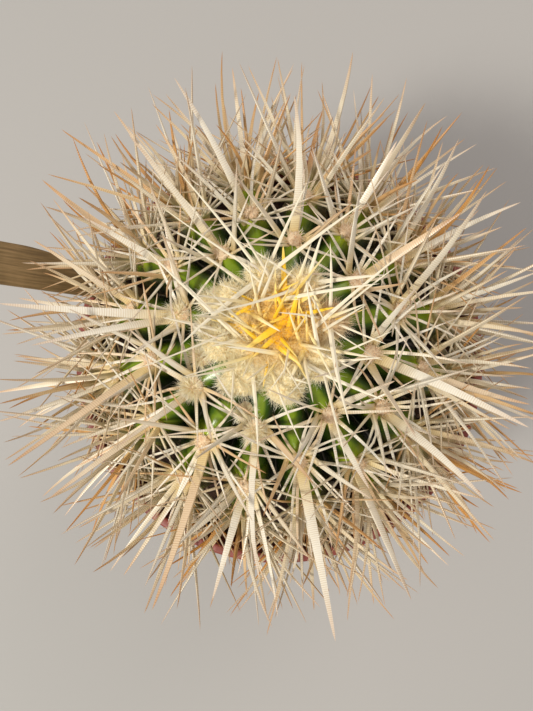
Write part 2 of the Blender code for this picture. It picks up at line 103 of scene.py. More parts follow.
SOIL_TOP = POT_HEIGHT - 0.012
SOIL_ROUGHNESS = 0.0009
SOIL_CELLS = 160
SOIL_SEGMENTS = 200
SOIL_RINGS = 26
ROOT_DEPTH = 0.011
ROOT_TAPER = 0.004
GRAINS = 420
GRAIN_SIZE = (0.0005, 0.0017)

STEM_RADIUS = 0.0525
STEM_RISE = 0.050
STEM_CENTRE = POT_HEIGHT + 0.014
CROWN_DIMPLE = 0.004
CROWN_DIMPLE_REACH = 0.24
RIBS = 16
RIB_PHASE = math.radians(11.0)
RIB_DEPTH = 0.0095
RIB_LEAST = 0.12
RIB_RISE = (math.radians(17.0), math.radians(44.0))
RIB_FALL = (math.radians(92.0), math.radians(121.0))
CREST_SHARPNESS = 0.85
HUMP = 0.0016
HUMP_RISE = (math.radians(20.0), math.radians(40.0))
HUMP_FALL = (math.radians(100.0), math.radians(116.0))
HUMP_NARROWNESS = 2.6
STEM_SEGMENTS = RIBS * 24
STEM_RINGS = 170
BURIED = 0.05
CORK_EDGE = (SOIL_TOP + 0.002, SOIL_TOP + 0.012)
CORK_MOTTLE = 0.004
CORK_CELLS = 170

AREOLE_PITCH = math.radians(21.0)
FIRST_AREOLE = math.radians(29.0)
AREOLES_PER_RIB = 4
AREOLE_RADIUS = 0.0026
OLDEST = math.radians(105.0)

RADIAL_LENGTH = (0.017, 0.026)
RADIAL_WIDTH = 0.0014
RADIAL_TILT = (58.0, 76.0)
RADIAL_ANGLES = (-128.0, -62.0, 62.0, 128.0)
CENTRAL_LENGTH = (0.027, 0.040)
CENTRAL_WIDTH = 0.0030
CENTRAL_TILT = (18.0, 44.0)
CENTRAL_ANGLES = (180.0, -75.0, 75.0)
SPINE_SINK = 0.0028
SPINE_REACH = 0.0960
SPINE_TAPER = 0.58
SPINE_KEEL = 2.0
SPINE_FLATNESS = 0.36
SPINE_BODY = 0.0004
# How far a drawn spine may differ from its areole's rule: in its angle, its lift, its bow and its width.
# A bow goes so much to the spine's own side, and so much down to the stem. The youngest spines have
# only this share of their length, and the older ones grow to it all.
TURN_SWING = 16.0
LIFT_SWING = (-0.04, 0.14)
BOW_SWING = (-0.05, 0.22)
WIDTH_SWING = (0.8, 1.1)
BOW_SIDEWAYS = 0.4
BOW_DOWN = 0.3
YOUNG_GROWTH = 0.74
GROWING_AGES = (0.2, 0.6)
# How many draws a spine gets, how many points its path has, the room that ends the draws, how far off
# other spines still count, and the least room that a spine needs. Below 0, spines may cross.
TRIES = 14
SAMPLES = 12
ROOMY = 0.0008
NEARBY = 0.0050
LEAST_ROOM = -0.0012
YOUNG_LEAST_ROOM = 0.0004
# Where the blanks of a broad spine, a slim spine and a hair are cut across, as shares of their length.
BROAD_CUTS = (0.08, 0.2, 0.36, 0.54, 0.72, 0.87, 0.96)
SLIM_CUTS = (0.12, 0.32, 0.56, 0.8, 0.94)
HAIR_CUTS = (0.4, 0.75)

SOIL_CLEARANCE = 0.0025
LIP_CLEARANCE = 0.0024
LABEL_CLEARANCE = 0.0032
WOOL_CLEARANCE = 0.0022
# A path runs in the stem where the square of its distance from the middle, 1 at the skin, is less.
STEM_BOUND = 1.05

WOOL_RADIUS = 0.0142
WOOL_HEIGHT = 0.0052
TUFTS = 8
TUFT_CIRCLE = 0.0142
TUFT_RADIUS = 0.0050
TUFT_HEIGHT = 0.0046
WOOL_EDGE = 0.0009
WOOL_LIFT = 1.3 * GAP
# The lumps of the wool: how high they are, and their cells.
WOOL_LUMPS = ((0.0007, 420), (0.0005, 950))
WOOL_SEGMENTS = 192
WOOL_RINGS = 96
YOUNG_SPINES = 34
YOUNG_LENGTH = (0.010, 0.024)
YOUNG_WIDTH = 0.0013
YOUNG_WIDTH_SWING = (0.7, 1.1)
YOUNG_THICKNESS = 0.0009
YOUNG_LEAN = (25.0, 62.0)
YOUNG_STRAY = 1.1
YOUNG_SPREAD = 0.85
YOUNG_SINK = 0.0012
YOUNG_COVER = 0.0010

LABEL_LENGTH = 0.094
LABEL_WIDTH = 0.0135
LABEL_THICKNESS = 0.0015
LABEL_TAPER = 0.052
LABEL_POINT = 0.003
LABEL_CORNER = 0.003
LABEL_AZIMUTH = math.radians(157.0)
LABEL_HEADING = math.radians(180.0)
LABEL_LEAN = math.radians(45.0)
LABEL_DEPTH = 0.008
LABEL_LIFT = 0.0012

# The spines that stand out from above, read off the photo one by one and rounded: the rib, the
# areole down it, the heading from +X and the rise in degrees, the length and the width.
STANDING_OUT = (
    (0, 0, 54, 30, 0.0365, 0.0032),
    (0, 1, 17, 25, 0.0290, 0.0024),
    (0, 2, 354, 20, 0.0300, 0.0026),
    (1, 1, 62, 25, 0.0340, 0.0030),
    (1, 1, 22, 25, 0.0340, 0.0028),
    (1, 2, 34, 20, 0.0320, 0.0022),
    (2, 1, 57, 30, 0.0330, 0.0034),
    (2, 2, 98, 15, 0.0360, 0.0022),
    (3, 0, 90, 30, 0.0350, 0.0030),
    (3, 1, 118, 25, 0.0385, 0.0024),
    (3, 2, 72, 25, 0.0385, 0.0034),
    (3, 2, 92, 20, 0.0345, 0.0020),
    (3, 2, 43, 20, 0.0355, 0.0020),
    (4, 0, 121, 25, 0.0390, 0.0030),
    (4, 2, 76, 20, 0.0390, 0.0022),
    (5, 0, 130, 30, 0.0370, 0.0026),
    (5, 2, 150, 25, 0.0410, 0.0034),
    (5, 2, 109, 20, 0.0360, 0.0022),
    (6, 1, 146, 25, 0.0340, 0.0030),
    (6, 2, 113, 15, 0.0430, 0.0018),
    (7, 0, 180, 25, 0.0440, 0.0034),
    (7, 0, 197, 30, 0.0380, 0.0030),
    (7, 1, 147, 25, 0.0310, 0.0028),
    (8, 0, 221, 25, 0.0440, 0.0036),
    (8, 2, 202, 20, 0.0340, 0.0028),
    (9, 1, 220, 25, 0.0330, 0.0026),
    (9, 2, 258, 15, 0.0380, 0.0018),
    (10, 0, 256, 30, 0.0440, 0.0036),
    (10, 1, 251, 25, 0.0310, 0.0030),
    (10, 2, 281, 20, 0.0400, 0.0028),
    (11, 0, 273, 30, 0.0380, 0.0024),
    (11, 2, 278, 20, 0.0310, 0.0020),
    (12, 0, 281, 30, 0.0450, 0.0036),
    (12, 1, 270, 30, 0.0270, 0.0026),
    (13, 1, 290, 30, 0.0375, 0.0034),
    (13, 2, 257, 20, 0.0340, 0.0022),
    (13, 2, 341, 20, 0.0350, 0.0020),
    (14, 0, 315, 30, 0.0345, 0.0034),
    (14, 1, 290, 20, 0.0300, 0.0024),
    (15, 0, 331, 25, 0.0420, 0.0036),
    (15, 1, 339, 25, 0.0290, 0.0030),
    (15, 2, 311, 20, 0.0310, 0.0026),
)
# How far each of them may bow aside and downwards, as a share of its length, how far its foot is off
# the areole's middle, as a share of the areole's radius, and how old it looks beside the others there.
HAND_BOW_ASIDE = 0.20
HAND_BOW_DOWN = 0.16
HAND_FOOT = 0.6
HAND_AGE = 0.6

# Where round an areole more spines are drawn, with the youngest and the oldest areoles that have them.
MORE_RADIALS = (
    (-158, 0.0, 0.8), (158, 0.0, 0.8), (-98, 0.0, 1.0), (98, 0.0, 1.0), (180, 0.0, 0.8), (0, 0.3, 1.0),
    (-30, 0.3, 0.8), (30, 0.3, 0.8), (-45, 0.0, 0.8), (45, 0.0, 0.8), (-143, 0.3, 0.8), (143, 0.3, 0.8),
    (-80, 0.5, 0.8), (80, 0.5, 0.8),
)
MORE_CENTRALS = (
    (-125, 0.42, 0.8), (125, 0.42, 0.8), (0, 0.5, 1.0), (-40, 0.66, 1.0), (40, 0.66, 1.0), (-155, 0.5, 0.8),
    (155, 0.5, 0.8), (180, 0.66, 0.8), (-100, 0.66, 1.0), (100, 0.66, 1.0), (-20, 0.66, 0.8),
    (20, 0.66, 0.8),
)
MORE_RADIAL_TILT = (52.0, 80.0)
MORE_RADIAL_LENGTH = (0.017, 0.030)
MORE_RADIAL_WIDTH = 0.0013
MORE_CENTRAL_TILT = (20.0, 74.0)
MORE_CENTRAL_LENGTH = (0.024, 0.039)
MORE_CENTRAL_WIDTH = 0.0021
MORE_BOW = 0.34
MORE_LEAST_ROOM = -0.0022

# The clusters of half-grown spines in the wool: the radius of their ring, how many there are in it,
# how far it is turned in degrees, and the spines in each. One side of the outer ring has none.
CROWN_CLUSTERS = ((TUFT_CIRCLE, 8, 0.0, 5), (0.0078, 8, 22.5, 2))
BARE_WOOL = (math.radians(140.0), math.radians(285.0))
CROWN_LEAN = (52.0, 82.0)
CROWN_LENGTH = (0.014, 0.032)
CROWN_WIDTH = (0.0007, 0.0019)
CROWN_FLATNESS = 0.5
# How wide a cluster's spines fan out, in half turns, how far each may stray from its place in the fan,
# how far their roots are spread, how long their hidden ends are, and how deep in the wool they stand.
CROWN_FAN = 1.7
CROWN_STRAY = 0.6
CROWN_SPREAD = 0.0015
CROWN_SINK = 0.0030
CROWN_COVER = 0.0014

# X and Y of the wool's golden middle and of its tan side, with how far they reach. The needles
# lie in an oval field, given by half its width and half its depth.
GOLD = (0.0014, 0.0016)
GOLD_REACH = 0.0140
TANNED = (0.0150, 0.0040)
TANNED_REACH = 0.0110
GOLDEN_NEEDLES = 44
NEEDLE_FIELD = (0.0115, 0.0080)
NEEDLE_LEAN = (64.0, 90.0)
NEEDLE_LENGTH = (0.005, 0.013)
NEEDLE_WIDTH = (0.0010, 0.0030)
NEEDLE_COVER = 0.0004
NEEDLE_LEAST_ROOM = -0.0012

FALLEN_SPINES = 24
FALLEN_LENGTH = (0.008, 0.018)
FALLEN_WIDTH = 0.0014
FALLEN_THICKNESS = 0.0006
FALLEN_HEIGHT = 0.0016

# The growth rings of a spine: how far apart they are, and how much painted shade darkens the groove between
# two of them.
BAND_PITCH = 0.00062
BAND_GROOVE_SHADE = 0.55

# Half the size of an areole's felt pad: round the stem, along it and out of it.
PAD_HALF = (0.0021, 0.0026, 0.0012)
# How high a pad's lumps are and how close they lie, for its size, and how they shift from pad to pad.
PAD_LUMPS = 0.22
PAD_CELLS = 2.6
PAD_SHIFT = 900
# Areoles younger than this carry a brush of hair on the side where the wool is bare of spines.
YOUNG_AREOLE = 0.30
# Loose tufts between the wool and the youngest areoles: the heading in degrees and the distance out.
LOOSE_TUFTS = ((155, 0.0190), (198, 0.0203), (229, 0.0176), (250, 0.0225), (176, 0.0178))
POMPOM_RADIUS = 0.0036
# Where the hairs of the wool's tufts and of the brushes round it start, as a share of their radius.
TUFT_CORE = 0.72
POMPOM_CORE = 0.55
PAD_HAIRS = 60
POMPOM_HAIRS = 460
TUFT_HAIRS = 420
MATTED_HAIRS = 9000
# The kinds of hair: the shortest, the longest, the width, and how much it bends for its length.
PAD_HAIR = (0.0010, 0.0024, 0.00022, 0.5)
POMPOM_HAIR = (0.0014, 0.0030, 0.00016, 0.4)
TUFT_HAIR = (0.0020, 0.0036, 0.00015, 0.35)
MATTED_HAIR = (0.0012, 0.0028, 0.00018, 0.8)
HAIR_TAPER = 0.75

CAMERA_PLACE = (0.0032, -0.0242, 0.365)
CAMERA_AIM = (-0.0039, -0.0002, 0.120)
LENS = 36.3
SENSOR = 36.0


# Small helpers


def stream(kind):
    """The seeded random numbers of one kind of growth or finish."""
    return random.Random(SEED + STREAMS[kind])


def polar(radius, turn):
    """X and Y at a distance and a heading from the axis."""
    return radius * math.cos(turn), radius * math.sin(turn)


def level(turn):
    """The level direction of a heading."""
    return Vector((math.cos(turn), math.sin(turn), 0))


def sphere_angles(point):
    """A unit sphere's point as its angle from the top and its heading."""
    return math.acos(max(-1.0, min(1.0, point.z))), math.atan2(point.y, point.x)


def smooth(low, high, value):
    """0 below low, 1 above high, and a smooth rise between."""
    t = min(max((value - low) / (high - low), 0.0), 1.0)
    return t * t * (3 - 2 * t)


# Modelling


def primitive(kind, **settings):
    """Adds a primitive with nothing else selected."""
    bpy.ops.object.select_all(action="DESELECT")
    getattr(bpy.ops.mesh, f"primitive_{kind}_add")(**settings)
    return bpy.context.object


def select_only(obj):
    """Selects this object alone, and makes it the active one."""
    bpy.ops.object.select_all(action="DESELECT")
    obj.select_set(True)
    bpy.context.view_layer.objects.active = obj


def settle(obj, name):
    """Puts the object's place into its mesh, and names it."""
    select_only(obj)
    bpy.ops.object.transform_apply(location=True, rotation=True, scale=True)
    obj.name = name
    obj.data.name = name
    return obj


def edit(obj):
    """Goes into edit mode on this object alone."""
    select_only(obj)
    bpy.ops.object.mode_set(mode="EDIT")


def leave():
    """Turns all faces outwards and leaves edit mode."""
    bpy.ops.mesh.select_all(action="SELECT")
    bpy.ops.mesh.normals_make_consistent(inside=False)
    bpy.ops.object.mode_set(mode="OBJECT")


def pick(obj, what, wanted):
    """Selects in edit mode the points or edges whose middle is wanted."""
    bpy.ops.mesh.select_mode(type={"verts": "VERT", "edges": "EDGE"}[what])
    bpy.ops.mesh.select_all(action="DESELECT")
    shape = bmesh.from_edit_mesh(obj.data)
    for item in getattr(shape, what):
        corners = [item.co] if what == "verts" else [v.co for v in item.verts]
        if wanted(sum(corners, Vector()) / len(corners)):
            item.select_set(True)
    shape.select_flush_mode()
    bmesh.update_edit_mesh(obj.data)


def modify(obj, kind, **settings):
    """Adds a modifier with its settings, and applies it."""
    step = obj.modifiers.new(kind.lower(), kind)
    for key, value in settings.items():
        setattr(step, key, value)
    bpy.context.view_layer.objects.active = obj
    bpy.ops.object.modifier_apply(modifier=step.name)


def shade(obj):
    """Shades the round parts smooth, and keeps the hard edges."""
    select_only(obj)
    bpy.ops.object.shade_smooth_by_angle(angle=HARD_EDGE)


def turned(name, profile, segments):
    """A round closed piece, raised from a disc by extruding its cap along radii and heights."""
    radius, z = profile[0]
    obj = primitive("circle", vertices=segments, radius=radius, fill_type="NGON", location=(0, 0, z))
    edit(obj)
    bpy.ops.mesh.select_all(action="SELECT")
    for next_radius, next_z in profile[1:]:
        rise = (0, 0, next_z - z)
        bpy.ops.mesh.extrude_region_move(TRANSFORM_OT_translate={"value": rise})
        grow_by = next_radius / radius
        middle = (0, 0, next_z)
        bpy.ops.transform.resize(value=(grow_by, grow_by, 1), center_override=middle)
        radius, z = next_radius, next_z
    leave()
    return settle(obj, name)


def keep_values(mesh, values):
    """Keeps the values that a finish reads, one a point under each name."""
    for key, value in values.items():
        layer = mesh.attributes.new(key, "FLOAT", "POINT")
        layer.data.foreach_set("value", np.asarray(value, np.float32).reshape(-1))


def finish_piece(obj, surface, slot, *nodes):
    """Gives a piece its material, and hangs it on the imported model."""
    obj.data.materials.clear()
    obj.data.materials.append(surface)
    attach(obj, "root")
    if nodes:
        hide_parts(*nodes)


class Blank:
    """One modelled piece, kept as points and faces, to be copied many times into one mesh."""

    def __init__(self, obj):
        self.points = np.array([point.co[:] for point in obj.data.vertices])
        self.faces = [np.array(face.vertices[:]) for face in obj.data.polygons]
        bpy.data.objects.remove(obj, do_unlink=True)

    def copies(self, name, points, values):
        """A mesh object of many copies, from all their points and the values at each of them."""
        count = len(self.points)
        total = len(points)
        sizes = [len(face) for face in self.faces]
        ring = np.concatenate(self.faces)
        corners = (ring[None, :] + count * np.arange(total)[:, None]).reshape(-1)
        starts = np.concatenate([[0], np.cumsum(np.tile(sizes, total))[:-1]])
        mesh = bpy.data.meshes.new(name)
        mesh.vertices.add(count * total)
        mesh.vertices.foreach_set("co", np.asarray(points, float).reshape(-1))
        mesh.loops.add(len(corners))
        mesh.loops.foreach_set("vertex_index", corners.astype(np.int32))
        mesh.polygons.add(len(sizes) * total)
        mesh.polygons.foreach_set("loop_start", starts.astype(np.int32))
        mesh.update(calc_edges=True)
        mesh.validate()
        keep_values(mesh, values)
        mesh.shade_smooth()
        mesh.set_sharp_from_angle(angle=HARD_EDGE)
        obj = bpy.data.objects.new(name, mesh)
        bpy.context.scene.collection.objects.link(obj)
        return obj


def tapering_blank(sides, cuts, taper):
    """A slim round cone of unit size along Z, drawn in at each cut to the taper of a spine."""
    obj = primitive("cone", vertices=sides, radius1=1.0, radius2=0.0, depth=1.0, location=(0, 0, 0.5))
    obj = settle(obj, "blank")
    edit(obj)
    for cut in cuts:
        bpy.ops.mesh.select_all(action="SELECT")
        bpy.ops.mesh.bisect(plane_co=(0, 0, cut), plane_no=(0, 0, 1))
    for cut in cuts:
        pick(obj, "verts", lambda middle: abs(middle.z - cut) < TOLERANCE)
        swell = (1 - cut) ** taper / (1 - cut)
        bpy.ops.transform.resize(value=(swell, swell, 1), center_override=(0, 0, cut))
    leave()
    return Blank(obj)


# The rules of growth, the same as the solids'


def wall_radius(z):
    """The pot's outer radius below its collar, where the wall tapers straight."""
    under_collar = LIP_RADIUS - COLLAR_STEP - COLLAR_SETBACK
    return BASE_RADIUS + (under_collar - BASE_RADIUS) * z / (POT_HEIGHT - COLLAR_HEIGHT)


def inner_radius(z):
    """The pot's inner radius: the taper of the wall, then the straight inside of the lip."""
    return min(wall_radius(z) - WALL, LIP_RADIUS - LIP_WIDTH)


def root_radius():
    """The stem's radius where it enters the soil."""
    drop = (STEM_CENTRE - SOIL_TOP) / STEM_RISE
    return STEM_RADIUS * math.sqrt(1 - drop * drop)


def label_frame():
    """Where the label's tip is, and its directions: to its top end, across it, and out of its upper face."""
    to_lip = level(LABEL_AZIMUTH)
    outward = level(LABEL_HEADING)
    along = outward * math.cos(LABEL_LEAN) + UP * math.sin(LABEL_LEAN)
    across = UP.cross(outward)
    normal = along.cross(across)
    if normal.z < 0:
        across, normal = -across, -normal
    seat = to_lip * (LIP_RADIUS - LIP_WIDTH) + UP * POT_HEIGHT
    middle = seat + normal * (LABEL_THICKNESS / 2 + GAP + LABEL_LIFT)
    to_soil = (SOIL_TOP - middle.z) / along.z
    tip = middle + along * (to_soil - LABEL_DEPTH)
    return tip, along, across, normal


def rib_depth(theta):
    """The ribs fade out under the crown's wool and towards the soil."""
    rise = smooth(*RIB_RISE, theta)
    fall = 1 - smooth(*RIB_FALL, theta)
    return RIB_DEPTH * rise * (RIB_LEAST + (1 - RIB_LEAST) * fall)


def first_areole(rib):
    """The angle from the top of a rib's first areole: every other rib's is half a pitch farther down."""
    return FIRST_AREOLE + AREOLE_PITCH / 2 * ((rib + 1) % 2)


def hump(theta, rib):
    """How far the crest swells at an areole and draws in between two of them."""
    fade = smooth(*HUMP_RISE, theta)
    fade *= 1 - smooth(*HUMP_FALL, theta)
    return HUMP * fade * math.cos(2 * math.pi * (theta - first_areole(rib)) / AREOLE_PITCH)


def stem_axes(theta, phi):
    """The outward normal, and the directions towards the crown and round the stem."""
    flat = level(phi)
    normal = flat * (math.sin(theta) / STEM_RADIUS) + Vector((0, 0, math.cos(theta) / STEM_RISE))
    normal.normalize()
    around = Vector((-math.sin(phi), math.cos(phi), 0))
    upward = normal.cross(around)
    if upward.z < 0:
        upward = -upward
    return normal, upward, around


def stem_point(theta, phi):
    """A point on the ribbed stem, with its place from groove to crest and its share of a hump."""
    place = (phi - RIB_PHASE) * RIBS / (2 * math.pi)
    rib = round(place)
    off_crest = abs(place - rib)
    crest = math.cos(math.pi * off_crest)
    radius = STEM_RADIUS * math.sin(theta)
    height = STEM_CENTRE + STEM_RISE * math.cos(theta)
    height -= CROWN_DIMPLE * math.exp(-((theta / CROWN_DIMPLE_REACH) ** 2))
    normal, _, _ = stem_axes(theta, phi)
    swell = hump(theta, rib % RIBS) * max(0.0, 1 - HUMP_NARROWNESS * off_crest)
    shift = swell - rib_depth(theta) * (1 - crest**CREST_SHARPNESS if crest > 0 else 1)
    point = Vector((*polar(radius, phi), height)) + normal * shift
    return point, max(crest, 0.0), swell / HUMP


def areoles():
    """Each areole's place and directions, with its age from 0 at the crown to 1 at the soil."""
    for rib in range(RIBS):
        phi = RIB_PHASE + 2 * math.pi * rib / RIBS
        for step in range(AREOLES_PER_RIB):
            theta = first_areole(rib) + AREOLE_PITCH * step
            yield stem_point(theta, phi)[0], stem_axes(theta, phi), theta / OLDEST


def wool_height(x, y):
    """The height of the crown's wool above the stem: a low dome in a ring of tufts."""
    dome = 1 - (x * x + y * y) / WOOL_RADIUS**2
    height = WOOL_HEIGHT * math.sqrt(dome) if dome > 0 else 0.0
    for k in range(TUFTS):
        tuft_x, tuft_y = polar(TUFT_CIRCLE, RIB_PHASE + 2 * math.pi * k / TUFTS)
        dx, dy = x - tuft_x, y - tuft_y
        mound = 1 - (dx * dx + dy * dy) / TUFT_RADIUS**2
        if mound > 0:
            height = max(height, TUFT_HEIGHT * math.sqrt(mound))
    return height


def crown_surface(x, y):
    """The stem's height under the wool, where it has no ribs."""
    theta = math.asin(min(math.hypot(x, y) / STEM_RADIUS, 1.0))
    dimple = CROWN_DIMPLE * math.exp(-((theta / CROWN_DIMPLE_REACH) ** 2))
    return STEM_CENTRE + STEM_RISE * math.cos(theta) - dimple


def wool_surface(x, y):
    """The height of the wool's surface, before its lumps."""
    return crown_surface(x, y) + wool_height(x, y)


def wool_outline(phi):
    """How far the wool reaches: its dome's edge, or the far side of a tuft."""
    reach = WOOL_RADIUS
    for k in range(TUFTS):
        off = phi - RIB_PHASE - 2 * math.pi * k / TUFTS
        sideways = TUFT_CIRCLE * math.sin(off)
        if math.cos(off) > 0 and abs(sideways) < TUFT_RADIUS:
            far = math.sqrt(TUFT_RADIUS**2 - sideways**2)
            reach = max(reach, TUFT_CIRCLE * math.cos(off) + far)
    return reach


def in_the_way(path):
    """Whether a path, past its first points at the areole, comes near the pot, the soil or the label."""
    tip, along, across, normal = label_frame()
    for point in path[2:]:
        radius = math.hypot(point.x, point.y)
        if point.z < SOIL_TOP + SOIL_CLEARANCE:
            return True
        over_lip = radius > inner_radius(POT_HEIGHT) - LIP_CLEARANCE
        if over_lip and point.z < POT_HEIGHT + LIP_CLEARANCE:
            return True
        if radius > SPINE_REACH:
            return True
        offset = point - tip
        beside = abs(offset.dot(across)) < LABEL_WIDTH / 2 + LABEL_CLEARANCE
        near = abs(offset.dot(normal)) < LABEL_THICKNESS / 2 + LABEL_CLEARANCE
        if beside and near and offset.dot(along) < LABEL_LENGTH + LABEL_CLEARANCE:
            return True
    return False


def wool_in_the_way(path, clearance):
    """Whether a path of the stem's spines comes near the wool."""
    for point in path[2:]:
        radius = math.hypot(point.x, point.y)
        if radius < WOOL_RADIUS + 2 * TUFT_RADIUS:
            if point.z < wool_surface(point.x, point.y) + clearance:
                return True
    return False


def outside_box(path):
    """Whether a tip leaves the room that the solids' spines take."""
    tip = path[-1]
    low, high = SPINE_ROOM
    inside_x = low.x < tip.x < high.x
    inside_y = low.y < tip.y < high.y
    return not (inside_x and inside_y and tip.z < high.z)


def in_the_stem(path):
    """Whether a path runs back into the stem, past its first third."""
    for point in path[4:]:
        out = math.hypot(point.x, point.y) / STEM_RADIUS
        up = (point.z - STEM_CENTRE) / STEM_RISE
        if out * out + up * up < STEM_BOUND:
            return True
    return False


def spine_thickness(width):
    """How thick a spine of this width is."""
    return SPINE_FLATNESS * width + SPINE_BODY


class Spine:
    """A spine along a bowed line, wide across and thin through, with what its finish needs."""

    def __init__(self, start, run, bow, width, thickness, across, age):
        self.start = start
        self.run = run
        self.bow = bow
        self.width = width
        self.thickness = thickness
        self.across = across
        self.age = age
        steps = [i / (SAMPLES - 1) for i in range(SAMPLES)]
        self.path = [start + run * t + bow * t * t for t in steps]


class Thicket:
    """The spines placed so far, to keep each new one clear of the rest."""

    def __init__(self):
        self.points = np.zeros((0, 3))
        self.half_widths = np.zeros(0)

    @staticmethod
    def outline(path, width, first, share):
        """A path's points from the first on, at about this share of it, with half the width at each."""
        own = np.array([point[:] for point in path[first:]])
        return own, width / 2 * (1 - np.linspace(share, 1.0, len(own))) ** SPINE_TAPER

    def clearance(self, path, width):
        """The least free space between a path and the spines placed so far."""
        if not len(self.points):
            return 1.0
        own, fades = self.outline(path, width, 3, 0.25)
        middle = own.mean(axis=0)
        reach = np.linalg.norm(own - middle, axis=1).max() + NEARBY
        near = np.linalg.norm(self.points - middle, axis=1) < reach
        if not near.any():
            return 1.0
        apart = np.linalg.norm(own[:, None, :] - self.points[None, near, :], axis=2)
        return float((apart - fades[:, None] - self.half_widths[None, near]).min())

    def add(self, spine):
        """Keeps a spine's outline."""
        own, fades = self.outline(spine.path, spine.width, 2, 0.2)
        self.points = np.vstack([self.points, own])
        self.half_widths = np.concatenate([self.half_widths, fades])


def grow(rng, thicket, draw, blocked, least):
    """The clearest of several draws of a spine, or none where all of them are blocked."""
    best, best_room = None, least
    for _ in range(TRIES):
        spine = draw(rng)
        if blocked(spine.path):
            continue
        room = thicket.clearance(spine.path, spine.width)
        if room > best_room:
            best, best_room = spine, room
        if room > ROOMY:
            break
    if best:
        thicket.add(best)
    return best


def grow_all(rng, thicket, draws, blocked, least):
    """The spines of several draws in turn, without those that found no room."""
    spines = [grow(rng, thicket, draw, blocked, least) for draw in draws]
    return [spine for spine in spines if spine]


def standing_out(thicket):
    """The spines placed one by one, each in a slight arch that ends where the straight one would."""
    rng = stream("standing_out")
    spots = list(areoles())
    spines = []
    for rib, step, heading, rise, length, width in STANDING_OUT:
        root, (normal, _, _), age = spots[rib * AREOLES_PER_RIB + step]
        lift = math.radians(rise)
        direction = level(math.radians(heading)) * math.cos(lift) + Vector((0, 0, math.sin(lift)))
        across = direction.cross(normal).normalized()
        aside = (direction - normal * direction.dot(normal)).normalized()
        bow = across * rng.uniform(-HAND_BOW_ASIDE, HAND_BOW_ASIDE)
        bow -= normal * rng.uniform(0.0, HAND_BOW_DOWN)
        begin = root + aside * HAND_FOOT * AREOLE_RADIUS - (direction - bow) * SPINE_SINK
        run = (direction - bow) * (length + SPINE_SINK)
        thickness = spine_thickness(width)
        spines.append(Spine(begin, run, bow * length, width, thickness, across, HAND_AGE * age))
        thicket.add(spines[-1])
    return spines


def areole_draw(root, axes, angle, tilts, lengths, width, age, aside=0.0):
    """A function that draws one spine of an areole, at about this angle round it, bowed also aside."""
    normal, upward, around = axes

    def draw(rng):
        turn = math.radians(angle + rng.uniform(-TURN_SWING, TURN_SWING))
        tilt = math.radians(rng.uniform(*tilts))
        sideways = upward * math.cos(turn) + around * math.sin(turn)
        direction = normal * math.cos(tilt) + sideways * math.sin(tilt)
        direction.z += rng.uniform(*LIFT_SWING)
        direction.normalize()
        growth = YOUNG_GROWTH + (1 - YOUNG_GROWTH) * smooth(*GROWING_AGES, age)
        length = rng.uniform(*lengths) * growth
        bow = (sideways * BOW_SIDEWAYS - normal * BOW_DOWN) * rng.uniform(*BOW_SWING)
        foot = root + sideways * AREOLE_RADIUS
        across = direction.cross(normal)
        if aside:
            bow += across.normalized() * rng.uniform(-aside, aside)
        begin = foot - direction * SPINE_SINK
        run = direction * (length + SPINE_SINK)
        stout = width * rng.uniform(*WIDTH_SWING)
        return Spine(begin, run, bow * length, stout, spine_thickness(width), across, age)

    return draw


def stem_spines(thicket):
    """The spines that the solids have too: the broad central ones, and the slimmer radial ones."""
    rng = stream("stem_spines")
    taken = {rib * AREOLES_PER_RIB + step for rib, step, *_ in STANDING_OUT}
    grown = []

    def blocked(path):
        return in_the_way(path) or wool_in_the_way(path, WOOL_CLEARANCE)

    kinds = (
        (CENTRAL_ANGLES, CENTRAL_TILT, CENTRAL_LENGTH, CENTRAL_WIDTH),
        (RADIAL_ANGLES, RADIAL_TILT, RADIAL_LENGTH, RADIAL_WIDTH),
    )
    for angles, tilts, lengths, width in kinds:
        draws = [
            areole_draw(root, axes, angle, tilts, lengths, width, age)
            for angle in angles
            for place, (root, axes, age) in enumerate(areoles())
            if place not in taken or angle != CENTRAL_ANGLES[0]
        ]
        grown.append(grow_all(rng, thicket, draws, blocked, LEAST_ROOM))
    return grown


def more_stem_spines(thicket):
    """The rest of each areole's spines, which fill the room between those of the solids."""
    rng = stream("more_spines")
    grown = []

    def blocked(path):
        return in_the_way(path) or wool_in_the_way(path, 0.0) or outside_box(path)

    kinds = (
        (MORE_CENTRALS, MORE_CENTRAL_TILT, MORE_CENTRAL_LENGTH, MORE_CENTRAL_WIDTH),
        (MORE_RADIALS, MORE_RADIAL_TILT, MORE_RADIAL_LENGTH, MORE_RADIAL_WIDTH),
    )
    for angles, tilts, lengths, width in kinds:
        draws = [
            areole_draw(root, axes, angle, tilts, lengths, width, age, MORE_BOW)
            for angle, youngest, oldest in angles
            for root, axes, age in areoles()
            if youngest < age < oldest
        ]
        grown.append(grow_all(rng, thicket, draws, blocked, MORE_LEAST_ROOM))
    return grown


def leaning(root, heading, lean, length, bow, width, age):
    """A spine that leans out of the wool by an angle from upright, towards a heading."""
    flat = level(heading)
    direction = flat * math.sin(lean) + Vector((0, 0, math.cos(lean)))
    begin = root - direction * CROWN_SINK
    run = direction * (length + CROWN_SINK)
    return Spine(begin, run, bow * length, width, CROWN_FLATNESS * width, UP.cross(flat), age)


def from_gold(x, y):
    """How far a spot of the crown is from its golden middle: 0 in it, and 1 outside it."""
    return min(math.hypot(x - GOLD[0], y - GOLD[1]) / GOLD_REACH, 1.0)


